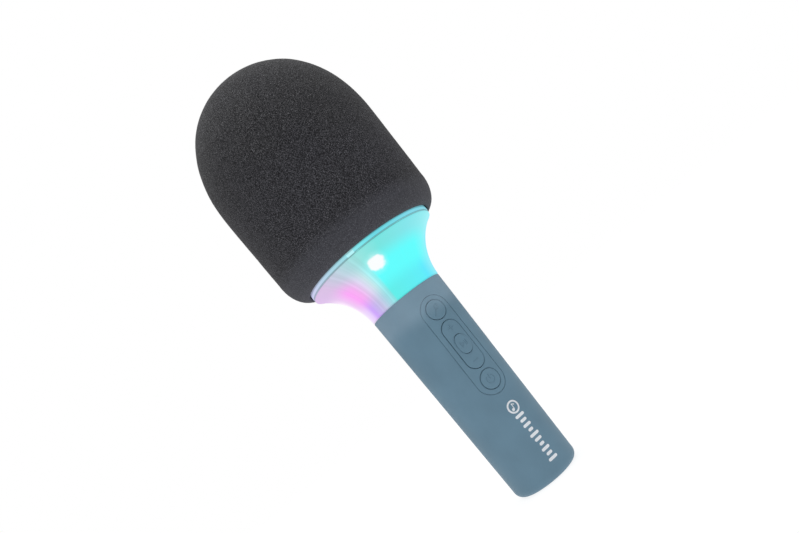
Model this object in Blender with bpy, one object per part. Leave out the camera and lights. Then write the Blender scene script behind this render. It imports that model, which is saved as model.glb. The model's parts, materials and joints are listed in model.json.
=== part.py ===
# Toy karaoke microphone, modelled in Blender as separate working pieces.
# Frame: origin at the centre of the flat base, +Z up through the handle to the foam head,
# buttons on the -Y side. Dimensions below are in millimetres and become metres in the meshes.

import math

import bmesh
import bpy
from mathutils import Vector

MM = 0.001
GAP = 0.3                  # clearance left between pieces that rest on each other

# Handle: one tapered cup
HANDLE_TOP = 102.6
HANDLE_BASE_RADIUS = 16.6
HANDLE_TOP_RADIUS = 19.2
HANDLE_WALL = 1.6
HANDLE_FLOOR = 3.0
BASE_FILLET = 4.0
HANDLE_SEGMENTS = 36

# Lit neck: flared diffuser between handle and head
FLARE_RADIUS = 30.0        # radius of the hollow curve of the flare
FLARE_CENTRE = (49.3, 101.8)
FLARE_END_DEG = 56.0
DIFFUSER_WALL = 1.8
SPIGOT_BOTTOM = 98.2       # the diffuser's collar plugs into the handle down to here
DIFFUSER_TOP = 128.65
LIP_RADIUS = 34.3
LIP_HEIGHT = 1.0           # straight edge at the top of the flare
RING_RADIUS = 34.5
RING_TOP = 131.6
RING_SHOULDER = (30.5, 129.7)   # inside this radius the ring's underside steps up to clear the LED board
NOTCH_WIDTH = 3.9
NOTCH_DEPTH = 1.2
NOTCH_TURN_DEG = -34.5
LED_BOARD = (128.2, 129.4)      # underside and top
LED_BOARD_RADII = (17.6, 29.4)

# Head: foam over a basket over the speaker chassis
TOTAL_HEIGHT = 240.0
FOAM_BOTTOM = 130.5
FOAM_RADIUS = 44.8
FOAM_CORNER = (34.9, 144.0)     # centre of the rounded lower corner
FOAM_CORNER_SIZE = (8.35, 13.5)
FOAM_CAVITY_RADIUS = 35.2
FOAM_CAVITY_TOP = 230.0
DOME_BASE = 187.0
DOME_EXPONENT = 2.2
BASKET_RADIUS = 34.2
BASKET_TOP = 225.0
BASKET_WALL = 1.8
BASKET_RIBS = 12
RIB_HALF_ANGLE_DEG = 2.2
CHASSIS_RADIUS = 33.6
CHASSIS_FLOOR = RING_TOP + GAP
CHASSIS_TOP = 148.0
SPEAKER_FLANGE_RADIUS = 29.0
SPEAKER_SCREW_CIRCLE = 26.6
NECK_SCREW_CIRCLE = 20.5
NECK_SCREW_ANGLES = (95, 215, 335)
SPEAKER_SCREW_ANGLES = (5, 95, 185, 275)
MIC_LEAD_HOLE_RADIUS = 30.3

# Buttons, on the front of the handle
BEZEL_CENTRE = 69.75
BEZEL_WIDTH = 14.4
BEZEL_LENGTH = 52.4
KEY_RADIUS = 4.6
KEY_PROUD = 0.3
VOICE_Z = 89.0
POWER_Z = 50.6
ROCKER_Z = 69.8
ROCKER_LENGTH = 25.1
MODE_WIDTH = 6.5
MODE_HEIGHT = 9.5
MODE_PROUD = 0.9
OVAL_POWER = 2.3           # the mode button's outline, slightly fuller than an ellipse
LIP_OVERLAP = 0.65         # how far a round key's lip reaches past its hole
FLANGE_OVERLAP = 1.2       # how far the bezel's flange reaches behind the handle's wall
ROCKER_ARM = 9.0           # from the rocker's pivot to each of its switches
ROCKER_PIVOT_Y = -12.9
STEM_RADIUS = 1.4
STEM_TIP_Y = -13.2
PIVOT_BORE_RADIUS = 1.1
STUD_RADIUS = 0.8
FRONT_CUT = (-26.0, -8.0)  # reach along Y of the cutters for the handle's front wall

# Electronics
BOARD_FRONT = -10.0
BOARD_THICKNESS = 1.2
BOARD_HALF_WIDTH = 10.0
BOARD_RANGE = (5.0, 94.5)
CELL_RADIUS = 9.2
CELL_Y = 5.2
CELL_RANGE = (13.0, 78.0)
LED_COUNT = 6
LED_CIRCLE = 26.0
USB_Y = -6.9
USB_SLOT = (9.5, 3.8)
USB_SHELL = (8.9, 3.2)
USB_MOUTH = (8.3, 2.6)
BASE_SCREW_Y = 6.0
CORE_SCREW = (10.5, 2.0)
BOARD_SCREWS = ((8.0, 16.0), (-8.0, 30.0))
LEAD_RADIUS = 0.6

# Colours (linear red, green, blue), roughness and metallic value for each kind of surface
SURFACES = {
    "foam": ((0.032, 0.032, 0.035), 0.95, 0.0),
    "blue_plastic": ((0.125, 0.2, 0.275), 0.55, 0.0),
    "clear_white": ((0.55, 0.85, 0.95), 0.35, 0.0),
    "white_plastic": ((0.8, 0.8, 0.8), 0.5, 0.0),
    "lilac_plastic": ((0.55, 0.6, 0.72), 0.4, 0.0),
    "black_plastic": ((0.03, 0.03, 0.032), 0.55, 0.0),
    "black_rubber": ((0.02, 0.02, 0.02), 0.8, 0.0),
    "steel": ((0.55, 0.55, 0.56), 0.35, 1.0),
    "ferrite": ((0.06, 0.06, 0.06), 0.6, 0.0),
    "paper_cone": ((0.05, 0.05, 0.05), 0.85, 0.0),
    "board_green": ((0.02, 0.16, 0.06), 0.45, 0.0),
    "cell_wrap": ((0.08, 0.2, 0.5), 0.4, 0.0),
    "lead": ((0.5, 0.03, 0.03), 0.5, 0.0),
}


def clear_scene():
    for old in list(bpy.data.objects):
        bpy.data.objects.remove(old, do_unlink=True)


def surface(node, kind):
    colour, roughness, metallic = SURFACES[kind]
    material = bpy.data.materials.new(f"{node}_{kind}")
    material.use_nodes = True
    shader = material.node_tree.nodes["Principled BSDF"]
    shader.inputs["Base Color"].default_value = (*colour, 1.0)
    shader.inputs["Roughness"].default_value = roughness
    shader.inputs["Metallic"].default_value = metallic
    return material


def add_object(name, data, kind):
    item = bpy.data.objects.new(name, data)
    data.materials.append(surface(name, kind))
    bpy.context.scene.collection.objects.link(item)
    return item


def finish_mesh(name, bm, kind):
    bmesh.ops.recalc_face_normals(bm, faces=bm.faces)
    for vertex in bm.verts:
        vertex.co *= MM
    mesh = bpy.data.meshes.new(name)
    bm.to_mesh(mesh)
    bm.free()
    mesh.shade_smooth()
    mesh.set_sharp_from_angle(angle=math.radians(35))
    return add_object(name, mesh, kind)


def turned(name, outline, kind, segments):
    # Turns an outline of (radius, height) points about Z. An outline that starts and ends on
    # the axis closes there; any other outline closes on itself.
    bm = bmesh.new()
    # The half step keeps the facets' edges off the planes of symmetry, where cutters have corners
    angles = [2 * math.pi * (k + 0.5) / segments for k in range(segments)]
    rings = []
    for radius, z in outline:
        around = angles if radius > 0 else [0.0]
        rings.append([bm.verts.new((radius * math.cos(a), radius * math.sin(a), z)) for a in around])
    pairs = list(zip(rings, rings[1:]))
    if len(rings[0]) > 1:
        pairs.append((rings[-1], rings[0]))
    for lower, upper in pairs:
        for k in range(segments):
            corners = [lower[k % len(lower)], lower[(k + 1) % len(lower)],
                       upper[(k + 1) % len(upper)], upper[k % len(upper)]]
            bm.faces.new(list(dict.fromkeys(corners)))
    return finish_mesh(name, bm, kind)


def prism(name, outline, low, high, kind, axis="Y"):
    # Extrudes an outline from low to high along Y (outline in x, z) or Z (outline in x, y).
    bm = bmesh.new()
    ends = []
    for level in (low, high):
        points = [(u, level, v) if axis == "Y" else (u, v, level) for u, v in outline]
        ends.append([bm.verts.new(point) for point in points])
    bm.faces.new(ends[0])
    bm.faces.new(ends[1])
    count = len(outline)
    for k in range(count):
        following = (k + 1) % count
        bm.faces.new((ends[0][k], ends[0][following], ends[1][following], ends[1][k]))
    return finish_mesh(name, bm, kind)


def block(name, low, high, kind):
    outline = [(low[0], low[1]), (high[0], low[1]), (high[0], high[1]), (low[0], high[1])]
    return prism(name, outline, low[2], high[2], kind, axis="Z")


def rod(name, radius, low, high, kind, segments=16):
    return turned(name, [(0, low), (radius, low), (radius, high), (0, high)], kind, segments)


def place(item, x, y, z=0.0, turn=(0, 0, 0)):
    item.location = (x * MM, y * MM, z * MM)
    item.rotation_euler = [math.radians(angle) for angle in turn]
    return item


def pivot_at(item, y, z):
    # Moves the object's origin onto its joint without moving its surface.
    shift = Vector((0, y * MM, z * MM))
    for vertex in item.data.vertices:
        vertex.co -= shift
    item.location = shift
    return item


def combine(target, tool, operation):
    # The tool is left as a wire guide, so that the cut or joint stays editable.
    modifier = target.modifiers.new(tool.name, "BOOLEAN")
    modifier.operation = operation
    modifier.solver = "EXACT"
    modifier.object = tool
    tool.hide_render = True
    tool.display_type = "WIRE"
    return target


def cut(target, *tools):
    for tool in tools:
        combine(target, tool, "DIFFERENCE")
    return target


def fuse(target, *tools):
    for tool in tools:
        combine(target, tool, "UNION")
    return target


def arc(centre, size, start_deg, end_deg, steps):
    angles = [math.radians(start_deg + (end_deg - start_deg) * k / steps) for k in range(steps + 1)]
    return [(centre[0] + size[0] * math.cos(a), centre[1] + size[1] * math.sin(a)) for a in angles]


def stadium(width, length, centre=0.0, steps=6):
    # Long oblong with round ends, standing along the second coordinate.
    end = width / 2
    reach = length / 2 - end
    top = arc((0, centre + reach), (end, end), 0, 180, steps)
    bottom = arc((0, centre - reach), (end, end), 180, 360, steps)
    return top + bottom if reach > 0 else top + bottom[1:-1]


def oval(width, height, centre):
    # Superellipse |u/a|^p + |v/b|^p = 1, with half axes a and b and the power p.
    power = 2 / OVAL_POWER
    points = []
    for k in range(20):
        angle = 2 * math.pi * k / 20
        c, s = math.cos(angle), math.sin(angle)
        points.append((width / 2 * math.copysign(abs(c) ** power, c),
                       centre + height / 2 * math.copysign(abs(s) ** power, s)))
    return points


def lying_stadium(width, height):
    # Oblong across the base, for the charging socket: width along X, height along Y.
    return [(u, USB_Y + v) for v, u in stadium(height, width)]


def on_circle(radius, degrees):
    return radius * math.cos(math.radians(degrees)), radius * math.sin(math.radians(degrees))


def circle(radius, u, v):
    return arc((u, v), (radius, radius), 0, 330, 11)


def dome(radius, height, angle_deg):
    # Superellipse: radius and height of the point at an angle above the dome's base.
    angle = math.radians(angle_deg)
    power = 2 / DOME_EXPONENT
    return radius * math.cos(angle) ** power, DOME_BASE + height * math.sin(angle) ** power


def handle_radius(z):
    return HANDLE_BASE_RADIUS + (HANDLE_TOP_RADIUS - HANDLE_BASE_RADIUS) * z / HANDLE_TOP


def drill(target, label, radius, x, y, low, high):
    cutter = rod(f"{label}_drill", radius, low, high, "steel", segments=12)
    cut(target, place(cutter, x, y))


def screw(name, shank, head, head_height, length, x, y, z, turn=(0, 0, 0)):
    # Pan-head screw: the underside of its head is at z and its shank points down from there.
    outline = [(0, -length), (shank * 0.5, -length), (shank, -length + shank), (shank, 0),
               (head, 0), (head, head_height * 0.6), (head * 0.7, head_height), (0, head_height)]
    place(turned(name, outline, "steel", 10), x, y, z, turn)


# ---------------------------------------------------------------- handle

def front_band(label, inner, outer, low, high):
    # A turned band that follows the handle's taper, offset from its outer surface.
    corners = [(low, inner), (low, outer), (high, outer), (high, inner)]
    outline = [(handle_radius(z) + offset, z) for z, offset in corners]
    return turned(f"{label}_band", outline, "blue_plastic", HANDLE_SEGMENTS)


def curved_plate(name, outline, inner, outer):
    # A plate cut from the handle's front: the outline in x, z, between two surface offsets.
    heights = [v for u, v in outline]
    plate = prism(name, outline, -26.0, -6.0, "blue_plastic")
    band = front_band(name, inner, outer, min(heights) - 1, max(heights) + 1)
    return combine(plate, band, "INTERSECT")


def build_handle():
    fillet_centre = (handle_radius(BASE_FILLET) - BASE_FILLET, BASE_FILLET)
    outline = [(0, 0)] + arc(fillet_centre, (BASE_FILLET, BASE_FILLET), -90, 0, 5)
    outline += [(handle_radius(z), z) for z in (HANDLE_TOP / 2, HANDLE_TOP)]
    outline += [(handle_radius(HANDLE_TOP) - HANDLE_WALL, HANDLE_TOP),
                (handle_radius(6) - HANDLE_WALL, 6), (13.0, HANDLE_FLOOR), (0, HANDLE_FLOOR)]
    shell = turned("handle_shell", outline, "blue_plastic", HANDLE_SEGMENTS)
    opening = stadium(BEZEL_WIDTH + 2 * GAP, BEZEL_LENGTH + 2 * GAP, BEZEL_CENTRE, 8)
    cut(shell, prism("bezel_opening", opening, *FRONT_CUT, "blue_plastic"))
    slot = lying_stadium(*USB_SLOT)
    cut(shell, prism("usb_slot", slot, -1.0, HANDLE_FLOOR + 1, "blue_plastic", axis="Z"))
    drill(shell, "base_screw_head", 2.6, 0, BASE_SCREW_Y, -1.0, 1.7)
    drill(shell, "base_screw_shank", 1.5, 0, BASE_SCREW_Y, 1.0, HANDLE_FLOOR + 1)
    screw("base_screw", 1.15, 2.2, 1.1, 7.5, 0, BASE_SCREW_Y, 1.4, turn=(180, 0, 0))


def build_bezel():
    # The face lies flush in the opening; a wider flange bears on the inside of the wall.
    back = HANDLE_WALL + GAP + 1.0
    face_outline = stadium(BEZEL_WIDTH, BEZEL_LENGTH, BEZEL_CENTRE, 8)
    bezel = curved_plate("button_bezel", face_outline, -back + 0.4, 0.0)
    wider = 2 * FLANGE_OVERLAP
    flange_outline = stadium(BEZEL_WIDTH + wider, BEZEL_LENGTH + wider, BEZEL_CENTRE, 8)
    fuse(bezel, curved_plate("bezel_flange", flange_outline, -back, -HANDLE_WALL - GAP))
    for side in (-1, 1):
        near, far = sorted((side * 5.2, side * 6.4))
        ear = block(f"pivot_ear_{side}", (near, -15.0, ROCKER_Z - 1.9), (far, -11.5, ROCKER_Z + 1.9),
                    "blue_plastic")
        fuse(bezel, ear)
    pivot_bore = rod("pivot_bore", PIVOT_BORE_RADIUS, -8.0, 8.0, "steel")
    cut(bezel, place(pivot_bore, 0, ROCKER_PIVOT_Y, ROCKER_Z, (0, 90, 0)))
    hole = 2 * (KEY_RADIUS + GAP)
    for label, centre, length in (("voice", VOICE_Z, hole), ("power", POWER_Z, hole),
                                  ("rocker", ROCKER_Z, ROCKER_LENGTH + 2 * GAP)):
        cut(bezel, prism(f"{label}_hole", stadium(hole, length, centre), *FRONT_CUT, "blue_plastic"))


def stem(label, z):
    # Short post from the back of a key towards its switch.
    root = -handle_radius(z) + 1.5
    return prism(f"{label}_stem", circle(STEM_RADIUS, 0, z), root, STEM_TIP_Y, "blue_plastic")


def build_round_key(name, z):
    # Cap through the bezel, with a lip behind it that keeps the key in.
    lip_front = HANDLE_WALL + 2 * GAP + 1.0
    key = curved_plate(name, stadium(2 * KEY_RADIUS, 2 * KEY_RADIUS, z), -lip_front - 0.4, KEY_PROUD)
    lip_width = 2 * (KEY_RADIUS + LIP_OVERLAP)
    lip = curved_plate(f"{name}_lip", stadium(lip_width, lip_width, z), -lip_front - 0.8, -lip_front)
    fuse(key, lip, stem(name, z))
    pivot_at(key, -handle_radius(z), z)


def build_rocker():
    depth = HANDLE_WALL + GAP + 1.0
    outline = stadium(2 * KEY_RADIUS, ROCKER_LENGTH, ROCKER_Z)
    rocker = curved_plate("volume_rocker", outline, -depth, KEY_PROUD)
    for label, side in (("volume_up", 1), ("volume_down", -1)):
        fuse(rocker, stem(label, ROCKER_Z + side * ROCKER_ARM))
    for side in (-1, 1):
        near, far = sorted((side * 3.7, side * 4.5))
        lug = block(f"rocker_lug_{side}", (near, -16.0, ROCKER_Z - 1.3),
                    (far, ROCKER_PIVOT_Y + 1.0, ROCKER_Z + 1.3), "blue_plastic")
        stud = rod(f"rocker_stud_{side}", STUD_RADIUS, 4.0, 6.3, "blue_plastic", 12)
        fuse(rocker, lug, place(stud, 0, ROCKER_PIVOT_Y, ROCKER_Z, (0, side * 90, 0)))
    window = oval(MODE_WIDTH + 2 * GAP, MODE_HEIGHT + 2 * GAP, ROCKER_Z)
    cut(rocker, prism("mode_window", window, *FRONT_CUT, "blue_plastic"))
    pivot_at(rocker, ROCKER_PIVOT_Y, ROCKER_Z)


def build_mode_button():
    depth = HANDLE_WALL + 2 * GAP + 1.0
    key = curved_plate("mode_button", oval(MODE_WIDTH, MODE_HEIGHT, ROCKER_Z), -depth - 0.9, MODE_PROUD)
    lip_outline = oval(MODE_WIDTH - 0.6, MODE_HEIGHT + 1.8, ROCKER_Z)
    lip = curved_plate("mode_lip", lip_outline, -depth - 1.3, -depth - 0.4)
    fuse(key, lip, stem("mode_button", ROCKER_Z))
    pivot_at(key, -handle_radius(ROCKER_Z), ROCKER_Z)


# ---------------------------------------------------------------- electronics in the handle

def build_switch(label, z):
    # Square switch body with a round pocket, and the plunger that the key presses.
    body = block(f"{label}_switch", (-2.2, -12.1, z - 2.2), (2.2, BOARD_FRONT - GAP, z + 2.2),
                 "black_plastic")
    cut(body, prism(f"{label}_pocket", circle(1.3, 0, z), -13.0, -10.8, "steel"))
    plunger = prism(f"{label}_plunger", circle(1.0, 0, z), STEM_TIP_Y + GAP, -11.6, "white_plastic")
    pivot_at(plunger, STEM_TIP_Y, z)


def build_boards():
    back = BOARD_FRONT + BOARD_THICKNESS
    board = block("main_board", (-BOARD_HALF_WIDTH, BOARD_FRONT, BOARD_RANGE[0]),
                  (BOARD_HALF_WIDTH, back, BOARD_RANGE[1]), "board_green")
    for number, (x, z) in enumerate(BOARD_SCREWS, 1):
        hole = prism(f"board_screw_hole_{number}", circle(1.2, x, z), BOARD_FRONT - 1, back + 1, "steel")
        cut(board, hole)
        screw(f"board_screw_{number}", 0.9, 1.7, 1.0, 3.2, x, BOARD_FRONT - GAP, z, turn=(90, 0, 0))
    block("radio_module", (-5.0, back + GAP, 36.0), (5.0, back + 1.6, 48.0), "steel")
    block("audio_chip", (-3.5, back + GAP, 60.0), (3.5, back + 1.3, 67.0), "black_plastic")
    for label, z in (("voice", VOICE_Z), ("volume_up", ROCKER_Z + ROCKER_ARM), ("mode", ROCKER_Z),
                     ("volume_down", ROCKER_Z - ROCKER_ARM), ("power", POWER_Z)):
        build_switch(label, z)


def build_usb_socket():
    socket = prism("usb_socket", lying_stadium(*USB_SHELL), 0.6, 7.9, "steel", axis="Z")
    cut(socket, prism("usb_mouth", lying_stadium(*USB_MOUTH), 0.0, 6.4, "steel", axis="Z"))
    fuse(socket, block("usb_tongue", (-3.2, USB_Y - 0.35, 1.3), (3.2, USB_Y + 0.35, 7.0), "steel"))


def build_carrier():
    # Sled that joins the board, the cell, the base screw and the light core.
    kind = "black_plastic"
    carrier = block("electronics_carrier", (-12.4, -6.4, 10.4), (12.4, -4.6, 88.0), kind)
    for side in (-1, 1):
        near, far = sorted((side * 9.8, side * 11.4))
        arm = block(f"carrier_arm_{side}", (near, -5.5, 10.9), (far, 4.5, 94.8), kind)
        boss = rod(f"carrier_boss_{side}", 2.8, 84.0, 96.2, kind)
        place(boss, side * CORE_SCREW[0], CORE_SCREW[1])
        fuse(carrier, arm, boss)
        for z in (16.0, 30.0, 84.0):
            foot = (side * BOARD_SCREWS[0][0], z)
            rest = block(f"board_rest_{side}_{z:.0f}",
                         (foot[0] - 1.8, BOARD_FRONT + BOARD_THICKNESS + GAP, z - 1.8),
                         (foot[0] + 1.8, -5.4, z + 1.8), kind)
            fuse(carrier, rest)
    fuse(carrier, block("carrier_floor", (-10.6, -5.2, 10.7), (10.6, 9.0, 12.4), kind))
    fuse(carrier, place(rod("base_screw_post", 3.0, HANDLE_FLOOR + GAP, 11.6, kind), 0, BASE_SCREW_Y))
    fuse(carrier, block("carrier_bridge", (-10.5, 0.3, 92.2), (10.5, 3.7, 95.4), kind))
    drill(carrier, "post", 1.45, 0, BASE_SCREW_Y, 2.0, 10.0)
    for side in (-1, 1):
        drill(carrier, f"boss_{side}", 1.45, side * CORE_SCREW[0], CORE_SCREW[1], 87.0, 97.0)
        number = 1 if side < 0 else 2
        screw(f"core_screw_{number}", 1.15, 2.1, 1.4, 9.5, side * CORE_SCREW[0], CORE_SCREW[1], 98.8)
    for number, (x, z) in enumerate(BOARD_SCREWS, 1):
        cut(carrier, prism(f"rest_hole_{number}", circle(1.2, x, z), -9.0, -6.0, "steel"))


def build_cell():
    low, high = CELL_RANGE
    outline = [(0, low), (CELL_RADIUS - 0.6, low), (CELL_RADIUS, low + 0.6), (CELL_RADIUS, high - 0.6),
               (CELL_RADIUS - 0.6, high), (3.2, high), (3.2, high + 1.0), (0, high + 1.0)]
    place(turned("battery_cell", outline, "cell_wrap", 20), 0, CELL_Y)


# ---------------------------------------------------------------- lit neck

def flare(offset, start_deg, end_deg, steps):
    # Points of the hollow curve, pushed inwards from the outer face by offset.
    radius = FLARE_RADIUS + offset
    return arc(FLARE_CENTRE, (radius, radius), 180 - start_deg, 180 - end_deg, steps)


def build_neck():
    outline = [(15.6, SPIGOT_BOTTOM), (17.0, SPIGOT_BOTTOM), (17.0, HANDLE_TOP + GAP)]
    outline += flare(0, 2.1, FLARE_END_DEG, 6)
    lip_foot = DIFFUSER_TOP - LIP_HEIGHT
    outline += [(LIP_RADIUS - 0.3, lip_foot - 0.4), (LIP_RADIUS, lip_foot), (LIP_RADIUS, DIFFUSER_TOP - 0.3),
                (LIP_RADIUS - 0.3, DIFFUSER_TOP), (32.3, DIFFUSER_TOP)]
    outline += flare(DIFFUSER_WALL, FLARE_END_DEG + 1, 4, 4) + [(15.6, 103.2)]
    turned("diffuser_neck", outline, "clear_white", HANDLE_SEGMENTS)

    low = DIFFUSER_TOP + GAP
    bore = LED_BOARD_RADII[0]
    ring_outline = [(bore, RING_SHOULDER[1]), RING_SHOULDER, (RING_SHOULDER[0], low), (RING_RADIUS, low),
                    (RING_RADIUS, RING_TOP), (bore, RING_TOP)]
    ring = turned("neck_ring", ring_outline, "lilac_plastic", HANDLE_SEGMENTS)
    notch = block("ring_notch", (-NOTCH_WIDTH / 2, -RING_RADIUS - 1.5, low - 1),
                  (NOTCH_WIDTH / 2, -RING_RADIUS + NOTCH_DEPTH, RING_TOP + 1), "steel")
    cut(ring, place(notch, 0, 0, 0, (0, 0, NOTCH_TURN_DEG)))

    # White core: floor with the core screws, tube inside the diffuser, flare and top flange
    def core_curve(wall):
        heights = [106 + 18 * k / 3 for k in range(4)]
        return [(15.0 - wall + 7.5 * ((z - 106) / 18) ** 2, z) for z in heights]
    outline = [(7.0, 96.5), (15.0, 96.5)] + core_curve(0.0)
    outline += [(23.4, 124.8), (23.4, 127.9), (17.6, 127.9), (17.6, 125.2)]
    outline += core_curve(1.6)[-2::-1] + [(13.4, 98.5), (7.0, 98.5)]
    core = turned("light_core", outline, "white_plastic", 24)
    for side in (-1, 1):
        drill(core, f"core_{side}", 1.5, side * CORE_SCREW[0], CORE_SCREW[1], 95.0, 100.0)

    underside, top = LED_BOARD
    rim = LED_BOARD_RADII[1]
    board_outline = [(bore, underside), (rim, underside), (rim, top), (bore, top)]
    board = turned("led_board", board_outline, "white_plastic", 24)
    for number, angle in enumerate(NECK_SCREW_ANGLES, 1):
        x, y = on_circle(NECK_SCREW_CIRCLE, angle)
        drill(core, f"core_neck_{number}", 1.6, x, y, 125.2, 129.0)
        drill(board, f"board_neck_{number}", 1.6, x, y, 127.0, 130.0)
        drill(ring, f"ring_neck_{number}", 1.6, x, y, 129.0, 133.0)
        screw(f"neck_screw_{number}", 1.3, 2.4, 1.6, 8.6, x, y, CHASSIS_FLOOR + 2 + GAP)
    for number in range(1, LED_COUNT + 1):
        angle = 360 * number / LED_COUNT
        x, y = on_circle(LED_CIRCLE, angle)
        led = block(f"led_{number}", (-1.7, -1.7, -1.2), (1.7, 1.7, 0.0), "white_plastic")
        place(led, x, y, underside - GAP, (0, 0, angle))


# ---------------------------------------------------------------- head

def build_chassis():
    floor_top = CHASSIS_FLOOR + 2
    outline = [(16.0, CHASSIS_FLOOR), (CHASSIS_RADIUS, CHASSIS_FLOOR), (CHASSIS_RADIUS, CHASSIS_TOP),
               (24.0, CHASSIS_TOP), (24.0, CHASSIS_TOP - 2), (CHASSIS_RADIUS - 2, CHASSIS_TOP - 2),
               (CHASSIS_RADIUS - 2, floor_top), (16.0, floor_top)]
    chassis = turned("head_chassis", outline, "black_plastic", 28)
    for number, angle in enumerate(NECK_SCREW_ANGLES, 1):
        x, y = on_circle(NECK_SCREW_CIRCLE, angle)
        drill(chassis, f"chassis_neck_{number}", 1.6, x, y, CHASSIS_FLOOR - 1, floor_top + 1)
    for number, angle in enumerate(SPEAKER_SCREW_ANGLES, 1):
        x, y = on_circle(SPEAKER_SCREW_CIRCLE, angle)
        drill(chassis, f"chassis_speaker_{number}", 1.45, x, y, CHASSIS_TOP - 3, CHASSIS_TOP + 1)
    x, y = on_circle(MIC_LEAD_HOLE_RADIUS, 45)
    drill(chassis, "chassis_lead", 1.1, x, y, CHASSIS_TOP - 3, CHASSIS_TOP + 1)


def build_speaker():
    seat = CHASSIS_TOP + GAP
    rim = SPEAKER_FLANGE_RADIUS
    outline = [(7.5, 138.5), (13.9, 138.5), (23.4, seat - 0.4), (23.4, seat), (rim, seat),
               (rim, seat + 1.2), (22.4, seat + 1.2), (22.2, seat), (13.2, 139.5), (7.5, 139.5)]
    frame = turned("speaker_frame", outline, "steel", 24)
    for number, angle in enumerate(SPEAKER_SCREW_ANGLES, 1):
        x, y = on_circle(SPEAKER_SCREW_CIRCLE, angle)
        drill(frame, f"speaker_{number}", 1.45, x, y, seat - 1, seat + 2)
        screw(f"speaker_screw_{number}", 1.15, 2.0, 1.4, 3.4, x, y, seat + 1.2 + GAP)
    rod("speaker_magnet", 12.5, 134.3, 138.2, "ferrite", 24)

    # Cone with its coil tube, dust cap and rolled surround, in one skin about 0.7 thick
    under = [(0, 145.7), (4.0, 144.9), (5.6, 143.5), (5.6, 139.9), (6.4, 139.9), (6.4, 142.7), (18.0, 147.6),
             (19.1, 148.5), (20.2, 148.0)]
    over = [(20.2, 148.7), (19.1, 149.3), (18.0, 148.4), (6.6, 143.6), (4.0, 145.6), (0, 146.4)]
    turned("speaker_cone", under + over, "paper_cone", 20)


def build_basket():
    # Cage of ribs and hoops. Each row of the skin is a hoop or a band of windows, and each
    # column is a rib or part of a window; a window cell has no skin and gets side walls.
    foot = CHASSIS_TOP + GAP
    rise = BASKET_TOP - DOME_BASE
    straight = [(foot, True), (foot + 3.5, False), (168.0, True), (170.2, False)]
    domed = [(0.0, True), (5.0, False), (17.0, False), (29.0, True), (32.5, False), (44.0, False),
             (56.0, True), (61.0, False), (70.0, True), (80.2, True)]

    def station(wall):
        lower = [(BASKET_RADIUS - wall, z) for z, hoop in straight]
        return lower + [dome(BASKET_RADIUS - wall, rise - wall, angle) for angle, hoop in domed]
    hoops = [hoop for height, hoop in straight + domed]
    pitch = 360 / BASKET_RIBS
    columns = []
    for k in range(BASKET_RIBS):
        columns += [(k * pitch - RIB_HALF_ANGLE_DEG, True), (k * pitch + RIB_HALF_ANGLE_DEG, False),
                    ((k + 0.5) * pitch, False)]

    bm = bmesh.new()
    skins = []
    for wall in (0.0, BASKET_WALL):
        skins.append([[bm.verts.new((*on_circle(radius, angle), z)) for angle, rib in columns]
                      for radius, z in station(wall)])
    rows, count = len(hoops) - 1, len(columns)

    def solid(row, column):
        return 0 <= row < rows and (hoops[row] or columns[column % count][1])

    def wall_between(first, second):
        (row_a, column_a), (row_b, column_b) = first, second
        outer, inner = skins
        bm.faces.new((outer[row_a][column_a % count], outer[row_b][column_b % count],
                      inner[row_b][column_b % count], inner[row_a][column_a % count]))

    for row in range(rows):
        for column in range(count):
            if not solid(row, column):
                continue
            corners = [(row, column), (row, column + 1), (row + 1, column + 1), (row + 1, column)]
            for skin in skins:
                bm.faces.new([skin[r][c % count] for r, c in corners])
            neighbours = [(row - 1, column), (row, column + 1), (row + 1, column), (row, column - 1)]
            for side, neighbour in enumerate(neighbours):
                if not solid(*neighbour):
                    wall_between(corners[side], corners[(side + 1) % 4])
    bmesh.ops.delete(bm, geom=[v for v in bm.verts if not v.link_faces], context="VERTS")
    finish_mesh("grille_basket", bm, "black_plastic")


def build_capsule():
    boot = [(5.2, 215.0), (6.2, 215.0), (6.2, 220.6), (7.6, 220.6), (7.6, 221.8), (6.2, 221.8),
            (6.2, 224.8), (8.2, 224.8), (8.2, 226.0), (5.2, 226.0)]
    turned("capsule_boot", boot, "black_rubber", 16)
    rod("mic_capsule", 4.85, 216.5, 223.0, "steel", 20)


def build_foam():
    # Outer outline: rounded lower corner, gently coned side, domed top; straight open cavity
    def side_radius(z):
        return FOAM_RADIUS - 1.6 * ((DOME_BASE - z) / 43) ** 1.3
    outline = [(FOAM_CAVITY_RADIUS, FOAM_BOTTOM + 0.2)]
    outline += arc(FOAM_CORNER, FOAM_CORNER_SIZE, -83, 0, 5)
    outline += [(side_radius(z), z) for z in (158.0, 172.0)]
    rise = TOTAL_HEIGHT - DOME_BASE
    cavity_rise = FOAM_CAVITY_TOP - DOME_BASE
    outline += [dome(FOAM_RADIUS, rise, angle) for angle in (0, 12, 24, 36, 48, 60, 72, 81)]
    outline += [(0, TOTAL_HEIGHT), (0, FOAM_CAVITY_TOP)]
    outline += [dome(FOAM_CAVITY_RADIUS, cavity_rise, angle) for angle in (75, 60, 45, 30, 15, 0)]
    # The outline runs from the cavity's foot round the outside to the axis and back inside
    start = outline.index((0, FOAM_CAVITY_TOP))
    turned("foam_windscreen", outline[start:] + outline[:start], "foam", 32)


# ---------------------------------------------------------------- leads

def smooth_route(points, spacing):
    # Catmull-Rom curve through the route's own points, read at an even spacing.
    route = [Vector(point) for point in points]
    route = [2 * route[0] - route[1]] + route + [2 * route[-1] - route[-2]]
    result = [route[1]]
    for a, b, c, d in zip(route, route[1:], route[2:], route[3:]):
        steps = max(1, round((c - b).length / spacing))
        for k in range(1, steps + 1):
            t = k / steps
            result.append(0.5 * (2 * b + (c - a) * t + (2 * a - 5 * b + 4 * c - d) * t * t
                                 + (3 * b - a - 3 * c + d) * t ** 3))
    return result


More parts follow.
